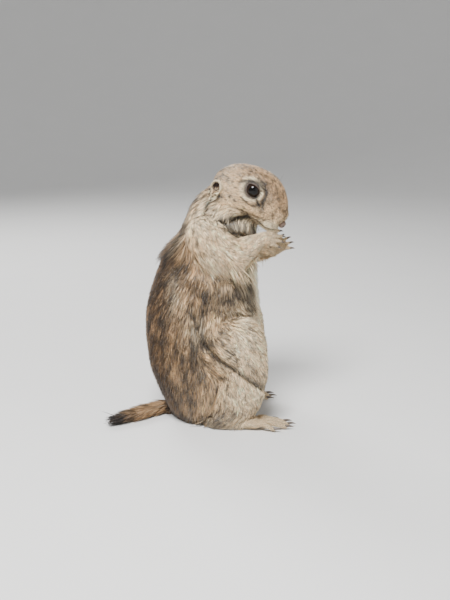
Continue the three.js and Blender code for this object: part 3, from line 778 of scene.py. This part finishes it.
def lengths(roots, is_part, longer):
    """How long each tuft is, by its part and place, so that none crosses an eye's opening or an ear."""
    p = roots["point"]
    q = in_head(p)
    long = roots["long"] * np.exp(rng.normal(0, 0.17, len(p)))
    long = long * np.where(is_part["head"], mix(1.25, 0.5, smooth_step(-14, 36, q[:, 0])), 1)
    long = long * longer
    fingers = mix(1.3, 0.5, smooth_step(0, 0.5, roots["chart"][:, 1]))
    long = np.where(is_part["hand"], long * fingers, long)
    past = np.minimum(*(past_opening(p, sign)[0] for sign in (-1, 1)))
    long = np.where(is_part["head"], np.minimum(long, np.maximum(0.8 * past, 0)), long)
    to_ear = np.minimum(*(np.linalg.norm(q - mirrored(EAR["at"], sign), axis=1) for sign in (-1, 1)))
    return np.where(is_part["ear"], long, np.minimum(long, np.maximum(to_ear - EAR["wide"], 1.5)))


def laid(tip, normal, long, rise, upright):
    """The tips at their height over the skin that they reach, or over their root where none is near."""
    thinned = slice(None, None, 3)
    target = nearest(skin["points"][thinned], tip, 4.0)
    ground, ground_normal = skin["points"][thinned][target], skin["normal"][thinned][target]
    lie = np.einsum("ij,ij->i", tip - ground, ground_normal)
    close = np.linalg.norm(tip - ground, axis=1) < 0.5 * long + 1.5
    hugged = tip + ground_normal * (rise - lie)[:, None]
    straight = tip + normal * rise[:, None]
    return np.where((close & ~upright)[:, None], hugged, straight)


def gathered(roots, tip, is_part, heel):
    """The tips drawn together into small locks, with each lock's chance of being dark and its tone, and
    painted shade on the tufts at a lock's edge.
    """
    p, part = roots["point"], roots["part"]
    count = len(p)
    leader = rng.choice(count, count // TUFTS_IN_LOCK, replace=False)
    mine = leader[nearest(p[leader], p, 7.0)]
    apart = np.linalg.norm(p[mine] - p, axis=1)
    bare = is_part["hand"] | is_part["ear"] | (is_part["foot"] & (heel < 0.5))
    loose = np.where(bare, 0, np.where(is_part["head"], 0.4, 1))
    loose = loose * (apart < LOCK_REACH) * (part[mine] == part)
    tip = mix(tip, tip[mine], 0.4 * loose * rng.uniform(0.5, 1.2, count))
    lock = np.where(loose > 0, rng.random(count)[mine], 1)
    tone = np.exp(0.16 * loose * rng.normal(0, 1, count)[mine])
    # Painted shade between the locks: tufts far from their lock's middle are darker
    tone *= 1 - 0.3 * loose * smooth_step(1.2, 2.8, apart)
    return tip, lock, tone


def groom(roots):
    """Each tuft's middle, tip and colours. Tips lie on the skin further along and gather in small locks."""
    p, normal = roots["point"], roots["normal"]
    count = len(p)
    is_part = by_part(roots["part"])
    flow = steer(p, normal, roots["flow"], roots["part"])
    side = np.cross(normal, flow)
    sway = rng.normal(0, 0.11, count) + 0.4 * (grain(roots["chart"], 18, 9) - 0.5)
    flow = unit(flow + side * sway[:, None])
    under, ruff, hem, heel, beard = longer_places(roots, is_part)
    longer = 1 + 1.1 * under + 1.0 * ruff + 0.6 * hem + 1.9 * heel + 0.3 * beard
    long = lengths(roots, is_part, longer)
    rise = roots["inset"] * rng.uniform(0.25, 1.25, count) + 0.06 * long + 0.12 + 4 * ruff + 2.5 * beard
    tip = laid(p + flow * long[:, None], normal, long, rise, is_part["tail"])
    tip += (normal * [1, 1, 0.6]) * (0.24 * long * is_part["tail"])[:, None]
    tip -= UP * (0.35 * long * under)[:, None]
    fall = long * (0.45 * hem + 0.2 * heel) * rng.uniform(0.5, 1.2, count)
    tip += np.array([-0.8, 0, -0.5]) * fall[:, None]
    tip, roots["lock"], roots["tone"] = gathered(roots, tip, is_part, heel)
    middle = p + flow * (0.5 * long)[:, None] + normal * (0.1 * long + 0.1)[:, None]
    under_foot = (p[:, 2] < 1.5) & (normal[:, 2] < -0.6)
    on_nose = is_part["head"] & (np.linalg.norm((in_head(p) - NOSE["at"]) / [9, 4.2, 3.2], axis=1) < 1)
    keep = (long > 0.45) & ~under_foot & ~on_nose
    tufts = dict(roots, tip=tip, middle=middle, colour=tuft_colours(roots, is_part, (p, middle, tip)))
    return {key: value[keep] for key, value in tufts.items()}


def tuft_colours(roots, is_part, path):
    """Each tuft's colour at its root, middle and tip: the markings, varied, some tufts with sooty tips,
    darker at the root, and darkened by the creases' painted shade.
    """
    base = markings(roots["point"], roots["part"], roots["chart"])
    count = len(base)
    tone = (roots["tone"] * np.exp(rng.normal(0, 0.14, count)))[:, None]
    warm = 1 + rng.normal(0, 0.05, (count, 1)) * np.array([1, 0, -1])
    dark = roots["lock"] < 0.47 - 0.88 * base.mean(axis=1)
    base = np.clip(base * tone * warm * np.where(dark, 0.38, 1.08)[:, None], 0.008, 0.95)
    pale = smooth_step(0.2, 0.5, base.mean(axis=1))
    sooty = rng.random(count) < 0.26 * (1 - pale) + 0.02
    sooty &= is_part["trunk"] | is_part["head"] | is_part["thigh"] | is_part["shank"]
    tip = np.where(sooty[:, None], SOOT * 1.6, base * 1.16)
    # Roots darker: partly the hair's own darker base, partly painted shade down among the tufts
    root = base * np.array([0.42, 0.37, 0.33])
    # The creases' painted shade, where each tuft's root, middle and tip lie
    light = 1 - np.stack([creases(place, roots["part"])[1] for place in path])[..., None]
    rings = [root * light[0], base * light[1], mix(base, tip, 0.7) * light[2], tip * light[2]]
    return np.clip(np.stack(rings, axis=1), 0.004, 0.95)


def grow(name, tufts, chosen, atlas, fine):
    """Bent cones of three sides: rings along a curve from the root past the middle to the tip's point."""
    rings = np.array([0, 0.5]) if fine else np.array([0, 0.34, 0.7])
    girth = np.array([0.7, 0.9]) if fine else np.array([0.6, 1.0, 0.66])
    root = (tufts["point"] - tufts["normal"] * 0.35)[chosen][:, None]
    middle, tip = tufts["middle"][chosen][:, None], tufts["tip"][chosen][:, None]
    s = np.append(rings, 1)[None, :, None]
    path = root * (1 - s) ** 2 + middle * 2 * s * (1 - s) + tip * s**2
    way = unit(np.gradient(path, axis=1))
    side = unit(np.cross(tufts["normal"][chosen][:, None], way))
    up = np.cross(way, side)
    wide = tufts["wide"][chosen] * np.exp(rng.normal(0, 0.2, len(chosen)))
    wide = wide[:, None] * girth
    across, high = np.array([-0.5, 0.5, 0.0]), np.array([0.0, 0.0, 0.42])
    ring = path[:, :-1, None] + side[:, :-1, None] * (wide[..., None] * across)[..., None]
    ring = ring + up[:, :-1, None] * (wide[..., None] * high)[..., None]
    count, steps = len(chosen), len(rings)
    verts = np.concatenate([ring.reshape(count, -1, 3), path[:, -1:]], axis=1)
    verts[..., 2] = np.maximum(verts[..., 2], 0.12)
    j = np.arange(3)
    k = np.arange(steps - 1)[:, None] * 3
    a, b = k + j, k + (j + 1) % 3
    halves = ((a, b, b + 3), (a, b + 3, a + 3))
    walls = np.concatenate([np.stack(half, axis=-1).reshape(-1, 3) for half in halves])
    last = 3 * (steps - 1)
    point = np.stack([last + j, last + (j + 1) % 3, np.full(3, 3 * steps)], axis=-1)
    pattern = np.concatenate([[[0, 2, 1]], walls, point])
    faces = (np.arange(count)[:, None, None] * (3 * steps + 1) + pattern).reshape(-1, 3)
    piece = write_mesh(name, verts.reshape(-1, 3), faces)
    shade = tufts["colour"][chosen]
    rows = (0, 2) if fine else (0, 1, 2)
    colour = np.concatenate([np.repeat(shade[:, rows], 3, axis=1), shade[:, 3:]], axis=1)
    give_colour(piece, colour.reshape(-1, 3))
    patch = np.stack([np.append(np.tile(across, steps), 0), np.append(np.repeat(rings, 3), 1)], axis=-1)
    patch[2:-1:3, 1] -= 0.1
    give_chart(piece, (atlas[:, None] + PATCH * patch).reshape(-1, 2), faces)
    return piece


PATCH = 0.003  # how wide each tuft's own patch of the chart is


def give_colour(piece, colour):
    """A colour for each vertex."""
    attribute = piece.data.color_attributes.new("coat_colour", "FLOAT_COLOR", "POINT")
    rgba = np.ones((len(colour), 4), np.float32)
    rgba[:, :3] = colour
    attribute.data.foreach_set("color", rgba.ravel())


def give_value(piece, name, values):
    """A number for each vertex."""
    attribute = piece.data.attributes.new(name, "FLOAT", "POINT")
    attribute.data.foreach_set("value", np.ascontiguousarray(values, dtype=np.float32).ravel())


def give_chart(piece, places, faces):
    """The piece's own unwrap, from a place for each vertex."""
    layer = piece.data.uv_layers.new(name="OFBake")
    layer.uv.foreach_set("vector", places[faces.ravel()].astype(np.float32).ravel())


# The pieces of the coat: their parts of the body, the heights they span and whether their tufts are fine
COATS = {
    "coat_seat": (("trunk",), (-9, 48), False),
    "coat_hips": (("trunk",), (48, 84), False),
    "coat_ribs": (("trunk",), (84, 122), False),
    "coat_chest": (("trunk",), (122, 158), False),
    "coat_neck": (("trunk",), (158, 260), False),
    "coat_thighs": (("thigh",), (-9, 260), False),
    "coat_shanks": (("shank",), (-9, 260), False),
    "coat_shoulders": (("upper_arm",), (-9, 260), False),
    "coat_forearms": (("forearm",), (-9, 260), False),
    "coat_tail": (("tail",), (-9, 260), False),
    "coat_face": (("head", "ear"), (-9, 206), True),
    "coat_crown": (("head", "ear"), (206, 260), True),
    "coat_hands": (("hand",), (-9, 260), True),
    "coat_feet": (("foot",), (-9, 260), True),
}


def atlas_places(tufts, chosen):
    """Where roots lie on the unwrap: each form has a cell of a grid to itself, filled by its own chart."""
    forms, cell = np.unique(tufts["form"][chosen], return_inverse=True)
    grid = int(np.ceil(np.sqrt(len(forms))))
    chart = tufts["chart"][chosen].copy()
    chart[:, 0] %= 1
    if grid == 1:
        low, high = chart[:, 1].min(), chart[:, 1].max()
        chart[:, 1] = (chart[:, 1] - low) / (high - low)
    inner = PATCH + np.clip(chart, 0, 1) * (1 / grid - 3 * PATCH)
    return inner + np.stack([cell % grid, cell // grid], axis=-1) / grid


def dress():
    """The whole coat, piece by piece."""
    tufts = groom(scatter())
    height = tufts["point"][:, 2]
    for name, (parts, (low, high), fine) in COATS.items():
        wanted = np.isin(tufts["part"], [PART_NAMES.index(part) for part in parts])
        chosen = np.nonzero(wanted & (height >= low) & (height < high))[0]
        piece = grow(name, tufts, chosen, atlas_places(tufts, chosen), fine)
        finish(piece, COAT_LOOKS, "tail_coat" if name == "coat_tail" else "coat")


class Wire:
    """A socket of a material's nodes that takes part in arithmetic."""

    def __init__(self, looks, socket):
        self.looks, self.socket = looks, socket

    def __add__(self, other):
        return self.looks.maths("ADD", self, other)

    def __mul__(self, other):
        return self.looks.maths("MULTIPLY", self, other)

    __radd__ = __add__
    __rmul__ = __mul__


class Looks:
    """A material and the nodes that feed its surface."""

    def __init__(self, name, **constants):
        self.material = bpy.data.materials.new(name)
        self.material.use_nodes = True
        self.tree = self.material.node_tree
        self.surface = self.tree.nodes["Principled BSDF"]
        for key, value in constants.items():
            self.surface.inputs[key.replace("_", " ")].default_value = value

    def node(self, kind, settings=None, sockets=None):
        """A node with its settings made first, then the values or links of its sockets."""
        node = self.tree.nodes.new("ShaderNode" + kind)
        for key, value in (settings or {}).items():
            setattr(node, key, value)
        for key, value in (sockets or {}).items():
            socket = node.inputs[key] if isinstance(key, int) else next(
                s for s in node.inputs if key in (s.identifier, s.name) and s.enabled)
            self.feed(socket, value)
        return node

    def feed(self, socket, value):
        """A socket's value, or the link to it."""
        if isinstance(value, Wire):
            self.tree.links.new(value.socket, socket)
        else:
            socket.default_value = value

    def out(self, node, name=0):
        """One of a node's results."""
        return Wire(self, node.outputs[name])

    def maths(self, operation, a, b):
        """Arithmetic on two numbers."""
        return self.out(self.node("Math", {"operation": operation}, {0: a, 1: b}))

    def blend(self, share, a, b):
        """Two colours mixed by a share."""
        colours = {"Factor_Float": share, "A_Color": a, "B_Color": b}
        return self.out(self.node("Mix", {"data_type": "RGBA"}, colours), 2)

    def tint(self, colour, brightness):
        """A colour made lighter or darker by a number that changes over the surface."""
        scale = self.node("VectorMath", {"operation": "SCALE"}, {0: colour, "Scale": brightness})
        return self.out(scale)

    def named(self, name, kind="Color"):
        """A value that the mesh carries at its vertices."""
        return self.out(self.node("Attribute", {"attribute_name": name}), kind)

    def place(self, stretch=(1, 1, 1)):
        """The place on the object, stretched along its axes."""
        coordinates = self.out(self.node("TexCoord"), "Object")
        return self.out(self.node("Mapping", None, {"Vector": coordinates, "Scale": stretch}))

    def cloud(self, scale, detail=3.0, stretch=(1, 1, 1)):
        """Soft noise from 0 to 1."""
        sockets = {"Vector": self.place(stretch), "Scale": scale, "Detail": detail, "Roughness": 0.55}
        return self.out(self.node("TexNoise", None, sockets), "Fac")

    def cells(self, scale):
        """The distance to scattered points, for pores and pads."""
        sockets = {"Vector": self.place(), "Scale": scale}
        return self.out(self.node("TexVoronoi", None, sockets), "Distance")

    def surface_is(self, colour, roughness, relief=None, strength=0.0, depth=0.0):
        """What the surface takes: its colour, its roughness and the height of its fine relief."""
        self.feed(self.surface.inputs["Base Color"], colour)
        self.feed(self.surface.inputs["Roughness"], roughness)
        if relief is not None:
            bump = self.node("Bump", None, {"Height": relief, "Strength": strength, "Distance": depth})
            self.feed(self.surface.inputs["Normal"], self.out(bump, "Normal"))
        return self.material


def coat_looks():
    """Hair: the colour of each tuft, mottled finely, matt, with a fine relief of single hairs."""
    looks = Looks("coat", Sheen_Weight=0.25, Sheen_Roughness=0.45, Specular_IOR_Level=0.3)
    hairs = looks.cloud(2600, 2.0)
    colour = looks.tint(looks.named("coat_colour"), 0.82 + 0.36 * looks.cloud(900))
    return looks.surface_is(colour, 0.5 + 0.25 * hairs, hairs, 0.35, 0.0002)


def skin_looks():
    """Skin under the coat: the coat's markings, darker, partly as the underfur's own colour and partly as
    painted shade beneath the tufts, over wrinkled skin that is bare in places.
    """
    looks = Looks("skin", Specular_IOR_Level=0.35)
    wrinkles = looks.cells(1500) * 0.6 + looks.cloud(1400, 4.0)
    # Darker than the coat: partly the underfur's colour, partly painted shade under the tufts
    colour = looks.tint(looks.named("coat_colour"), 0.42 + 0.3 * looks.cloud(700, 4.0))
    return looks.surface_is(colour, 0.55 + 0.2 * looks.cloud(500), wrinkles, 0.5, 0.0004)


def eye_looks():
    """An almost black eye: a deep brown ring round the pupil, under a wet clear coat."""
    looks = Looks("eye", Coat_Weight=0.4, Coat_Roughness=0.02, Coat_IOR=1.36, Specular_IOR_Level=0.1)
    ring = looks.named("ring", "Fac")
    streaks = looks.cloud(1700, 4.0)
    iris = looks.blend(streaks, (0.008, 0.0045, 0.003, 1), (0.022, 0.012, 0.007, 1))
    colour = looks.blend(ring, (0.003, 0.0025, 0.0025, 1), iris)
    return looks.surface_is(colour, 0.06 + 0.05 * streaks)


def lid_looks():
    """The dark wet rim of the lids, finely wrinkled."""
    looks = Looks("lid", Specular_IOR_Level=0.5)
    wrinkles = looks.cloud(2200, 4.0) + looks.cells(2600) * 0.5
    colour = looks.blend(looks.cloud(900), (0.03, 0.02, 0.016, 1), (0.075, 0.048, 0.036, 1))
    return looks.surface_is(colour, 0.3 + 0.25 * looks.cloud(1500), wrinkles, 0.5, 0.0003)


def nose_looks():
    """Bare, pebbled nose leather, moist and dark, with painted shade near black in the nostrils and the
    groove.
    """
    looks = Looks("nose", Specular_IOR_Level=0.5)
    pebbles = looks.cells(3200) + looks.cloud(2500) * 0.4
    leather = looks.blend(looks.cloud(1100), (0.14, 0.088, 0.064, 1), (0.25, 0.17, 0.125, 1))
    # The nostrils and the groove are painted near black as painted shade
    colour = looks.blend(looks.named("hollow", "Fac"), leather, (0.006, 0.004, 0.004, 1))
    return looks.surface_is(colour, 0.34 + 0.25 * looks.cloud(1800), pebbles, 0.6, 0.0004)


def claw_looks():
    """Dark horn with fine lengthwise streaks, paler and duller where the tip is worn."""
    looks = Looks("claw", Specular_IOR_Level=0.5)
    streaks = looks.cloud(1300, 4.0, stretch=(0.25, 1, 1))
    horn = looks.blend(streaks, (0.05, 0.036, 0.028, 1), (0.13, 0.098, 0.074, 1))
    colour = looks.blend(looks.named("worn", "Fac"), horn, (0.34, 0.27, 0.2, 1))
    roughness = 0.26 + 0.2 * streaks + 0.25 * looks.named("worn", "Fac")
    return looks.surface_is(colour, roughness, streaks, 0.25, 0.0002)


def whisker_looks():
    """Stiff dark hair, brown where it is thin."""
    looks = Looks("whisker")
    colour = looks.blend(looks.named("worn", "Fac"), (0.012, 0.009, 0.008, 1), (0.09, 0.06, 0.04, 1))
    return looks.surface_is(colour, 0.3 + 0.15 * looks.cloud(3000), looks.cloud(4000), 0.2, 0.0001)


def floor_looks():
    """Plain pale paper."""
    looks = Looks("floor")
    colour = looks.blend(looks.cloud(14), (0.70, 0.695, 0.68, 1), (0.73, 0.725, 0.71, 1))
    return looks.surface_is(colour, 0.8 + 0.1 * looks.cloud(60), looks.cloud(900), 0.05, 0.0003)


def finish(piece, material, slot, *nodes):
    """A piece's material, the body it rides on and the solids it stands for, which are hidden. The slot is
    not used.
    """
    piece.data.materials.append(material)
    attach(piece, "root")
    if nodes:
        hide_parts(*nodes)
    return piece


POLE = 0.001  # the angle from the poles at which the grids of the eyes and the nose start


def closed_faces(rings, sides):
    """The faces of a grid that is closed sideways, in triangles, with a fan over each end."""
    quads = grid_faces(rings, sides)
    walls = np.concatenate([quads[:, [0, 1, 2]], quads[:, [0, 2, 3]]])
    i = np.arange(1, sides - 1)
    first = np.stack([np.zeros_like(i), i + 1, i], axis=-1)
    last = np.stack([np.zeros_like(i), i, i + 1], axis=-1) + (rings - 1) * sides
    return np.concatenate([walls, first, last])


def tubes(core, radius, sides):
    """Many tapered tubes at once: cores by count, rings and xyz, radii by count and rings."""
    count, rings = radius.shape
    way = unit(np.gradient(core, axis=1))
    spare = np.where(np.abs(way[..., 2:3]) > 0.9, [1.0, 0, 0], [0, 0, 1.0])
    side = unit(np.cross(way, spare))
    up = np.cross(way, side)
    angle = np.linspace(0, 2 * np.pi, sides, endpoint=False)
    around = side[..., None, :] * np.cos(angle)[:, None] + up[..., None, :] * np.sin(angle)[:, None]
    verts = core[..., None, :] + around * radius[..., None, None]
    pattern = outward(verts[0].reshape(-1, 3), closed_faces(rings, sides))
    faces = (np.arange(count)[:, None, None] * rings * sides + pattern).reshape(-1, 3)
    return verts.reshape(-1, 3), faces


def eye_ball(name, sign):
    """A sphere whose cornea stands a twentieth of its radius proud, fading to the side of the look."""
    centre, look, along, across = eye_frame(sign)
    v, u = ball_angles(60, 72, POLE)
    radius = EYE["radius"] * (1 + 0.05 * np.maximum(np.cos(v), 0) ** 4)
    around = along * np.cos(u)[..., None] + across * np.sin(u)[..., None]
    grid = centre + (look * np.cos(v)[..., None] + around * np.sin(v)[..., None]) * radius[..., None]
    verts = grid.reshape(-1, 3)
    piece = write_mesh("eyeball_" + name, verts, outward(verts, closed_faces(*v.shape)))
    ring = smooth_step(0.55, 0.68, v) * smooth_step(1.02, 0.92, v)
    give_value(piece, "ring", ring)
    return finish(piece, EYE_LOOKS, "eye", "eye_" + name)


def eye_lids(name, sign):
    """A rounded rim that follows the almond opening, 1.6 mm wide below, 2.3 mm above and 1.3 mm thick."""
    centre, look, along, across = eye_frame(sign)
    u = np.linspace(0, 2 * np.pi, 96, endpoint=False)
    w = np.linspace(0, 2 * np.pi, 20, endpoint=False)
    half = np.radians(7) * (1 + 0.45 * np.maximum(np.sin(u), 0))[:, None]
    polar = opening(u)[:, None] + half * (1 + np.cos(w))
    wrinkle = 0.08 * np.sin(9 * u)[:, None] * np.maximum(np.sin(w), 0)
    radius = EYE["radius"] - 0.2 * (1 + np.cos(w)) + (0.65 + wrinkle) * np.sin(w)
    around = along * np.cos(u)[:, None] + across * np.sin(u)[:, None]
    grid = look * np.cos(polar)[..., None] + around[:, None] * np.sin(polar)[..., None]
    verts = (centre + grid * radius[..., None]).reshape(-1, 3)
    quads = grid_faces(97, 20) % (96 * 20)
    piece = write_mesh("lids_" + name, verts, outward(verts, quads))
    return finish(piece, LID_LOOKS, "skin")


def nose_pad():
    """An ellipsoid with a nostril pressed in on each side and a groove down its middle to the lip."""
    v, u = ball_angles(70, 90, POLE)
    x, y, z = np.cos(v), np.sin(v) * np.cos(u), np.sin(v) * np.sin(u)
    bend = (np.abs(y) - 0.48) / 0.26
    slit = (z + 0.12 - 0.5 * (np.abs(y) - 0.4)) / 0.2
    hollow = np.exp(-(bend**2) - slit**2) * (x > 0)
    groove = np.exp(-((y / 0.09) ** 2)) * smooth_step(0.25, -0.3, z) * (x > 0)
    size = 1 - 0.34 * hollow - 0.13 * groove - 0.1 * smooth_step(0.2, 0.9, z) * np.abs(y)
    radii = np.array([NOSE["deep"], NOSE["wide"], NOSE["high"]])
    grid = np.stack([x, y, z], axis=-1) * size[..., None] * radii
    verts = grid.reshape(-1, 3) @ HEAD_TURN.T + on_head(NOSE["at"])
    piece = write_mesh("nose_pad", verts, outward(verts, closed_faces(*v.shape)))
    # How far into the nostrils and the groove each point lies, for their painted shade
    give_value(piece, "hollow", np.clip(hollow * 1.2 + groove * 0.5, 0, 1))
    return finish(piece, NOSE_LOOKS, "nose", "nose")


def claw_roots():
    """For each claw: its root, the way it points, its length, its girth and the solid it stands for."""
    for side in SIDES:
        for i, finger in enumerate(FINGERS):
            start, end = finger_line(side, finger)
            way = unit(end - start)
            yield end - way * 0.8, way, 5.6, 1.05, f"claw_hand_{side}_{i + 1}"
        for i, toe in enumerate(TOES):
            start, end = toe_line(side, toe)
            way = unit((end - start) * [1, 1, 0])
            yield end - way * 0.6 + UP * 0.6, unit(way + UP * 0.25), 8.0, 1.35, f"claw_foot_{side}_{i + 1}"


def claws():
    """Tapered horns, bent down towards the tip, on every finger and toe."""
    roots, ways, longs, girths, nodes = zip(*claw_roots())
    s = np.linspace(0, 1, 14)
    long = np.array(longs)[:, None]
    core = np.array(roots)[:, None] + np.array(ways)[:, None] * (long * s)[..., None]
    core = core - UP * (0.3 * long * s**2)[..., None]
    radius = np.array(girths)[:, None] * (1 - 0.93 * s**1.5)
    core[..., 2] = np.maximum(core[..., 2], radius + 0.15)
    sides = 12
    piece = write_mesh("claws", *tubes(core, radius, sides))
    give_value(piece, "worn", np.tile(np.repeat(smooth_step(0.72, 1.0, s), sides), len(long)))
    return finish(piece, CLAW_LOOKS, "claw", *nodes)


def whiskers():
    """Stiff hairs in rows on both sides of the muzzle, over the eyes and on the cheeks, swept back."""
    spots = [(38 - 2.6 * i + 0.5 * j, 6.5 + 1.3 * i - 0.4 * j, -3.5 - 2.1 * j, 12 + 3.2 * i)
             for j in range(4) for i in range(5)]
    spots += [(19, 15, 17.5, 13), (21, 13.5, 17, 10), (4, 22, -12, 15), (2, 22, -15, 12)]
    spots = np.array(spots)
    cores = []
    s = np.linspace(0, 1, 16)[:, None]
    for sign in (-1, 1):
        start = mirrored(spots[:, :3], sign) * [1, 0.9, 1]
        back, out = 0.35 - 0.02 * spots[:, 3], np.full(len(spots), 0.85 * sign)
        way = unit(np.stack([back, out, (spots[:, 2] + 6) * 0.035], axis=-1))
        way = unit(way + rng.normal(0, 0.09, way.shape))
        long = spots[:, 3] * rng.uniform(0.85, 1.15, len(spots))
        core = start[:, None] + way[:, None] * (long[:, None, None] * s)
        core = core + np.array([-0.28, 0, -0.12]) * (long[:, None, None] * s**2)
        cores.append(on_head(core))
    core = np.concatenate(cores)
    radius = 0.17 * (1 - 0.85 * s[:, 0]) * np.ones((len(core), 1))
    sides = 6
    piece = write_mesh("whiskers", *tubes(core, radius, sides))
    give_value(piece, "worn", np.tile(np.repeat(s[:, 0], sides), len(core)))
    return finish(piece, WHISKER_LOOKS, "claw")


def skin_piece():
    """The skin, thinned to its share of triangles, with the coat's markings."""
    fine = write_mesh("fine", skin["points"], skin["quads"])
    mesh = applied(fine, "DECIMATE", ratio=0.39)
    index = nearest(skin["points"], read_mesh(mesh)[0], 1.2)
    piece = placed("skin", mesh)
    mesh.name = "skin"
    give_colour(piece, skin["colour"][index])
    mesh.polygons.foreach_set("use_smooth", np.ones(len(mesh.polygons), bool))
    paired = ("ear", "upper_arm", "forearm", "hand", "thigh", "shank", "foot")
    both = [f"{part}_{side}" for part in paired for side in SIDES]
    return finish(piece, SKIN_LOOKS, "skin", "head", "neck", "torso", "tail", *both)


def floor_and_light():
    """A pale floor that curves up all round, soft lamps, a pale sky and the camera at the photo's angle."""
    flat, bend, sides = 1500, 1400, 96
    lift = np.linspace(0.1, np.pi / 2, 14)
    reach = np.array([1, flat, *(flat + bend * np.sin(lift))])[:, None]
    rise = np.array([0, 0, *(bend - bend * np.cos(lift))])[:, None] - 0.05
    turn = np.linspace(0, 2 * np.pi, sides, endpoint=False)
    bowl = np.stack([reach * np.cos(turn), reach * np.sin(turn), rise * np.ones(sides)], axis=-1)
    floor = write_mesh("floor", bowl.reshape(-1, 3), grid_faces(len(reach), sides))
    floor.data.materials.append(FLOOR_LOOKS)
    aim = np.array([0.01, 0, 0.12])
    for name, way, away, size, power in (
        ("key", (-0.2, -0.75, 1.0), 1.1, 0.4, 28),
        ("fill", (0.9, -0.7, 0.3), 1.3, 0.9, 3),
        ("rim", (-0.5, 0.9, 0.7), 1.2, 0.5, 12),
    ):
        lamp = bpy.data.lights.new(name, "AREA")
        lamp.size, lamp.energy = size, power
        aim_at(placed(name, lamp), aim + unit(way) * away, aim)
    world = bpy.data.worlds.new("studio")
    world.use_nodes = True
    sky = world.node_tree.nodes["Background"].inputs
    sky["Color"].default_value = (0.93, 0.94, 0.96, 1)
    sky["Strength"].default_value = 0.42
    bpy.context.scene.world = world
    lens = bpy.data.cameras.new("camera")
    lens.lens, lens.sensor_width = 60, 36
    camera = placed("camera", lens)
    target = to_frame((9, 0, 106))
    tilt = np.radians(14)
    aim_at(camera, target + np.array([0, -np.cos(tilt), np.sin(tilt)]) * 0.9, target)
    bpy.context.scene.camera = camera


def aim_at(piece, place, target):
    """A lamp or the camera at a place, turned to look at the target."""
    piece.location = place
    piece.rotation_euler = Vector(target - place).to_track_quat("-Z", "Y").to_euler()


build_forms()
skin = make_skin()
sculpt_face()
skin["normal"] = vertex_normals(skin["points"], skin["quads"])
skin["colour"] = markings(skin["points"], skin["part"], skin["chart"])
# The creases' painted shade darkens the skin
skin["colour"] *= 1 - creases(skin["points"], skin["part"])[1][:, None]
COAT_LOOKS, SKIN_LOOKS, EYE_LOOKS, LID_LOOKS = coat_looks(), skin_looks(), eye_looks(), lid_looks()
NOSE_LOOKS, CLAW_LOOKS, WHISKER_LOOKS = nose_looks(), claw_looks(), whisker_looks()
FLOOR_LOOKS = floor_looks()
skin_piece()
dress()
for name, side in SIDES.items():
    eye_ball(name, side["sign"])
    eye_lids(name, side["sign"])
nose_pad()
claws()
whiskers()
floor_and_light()
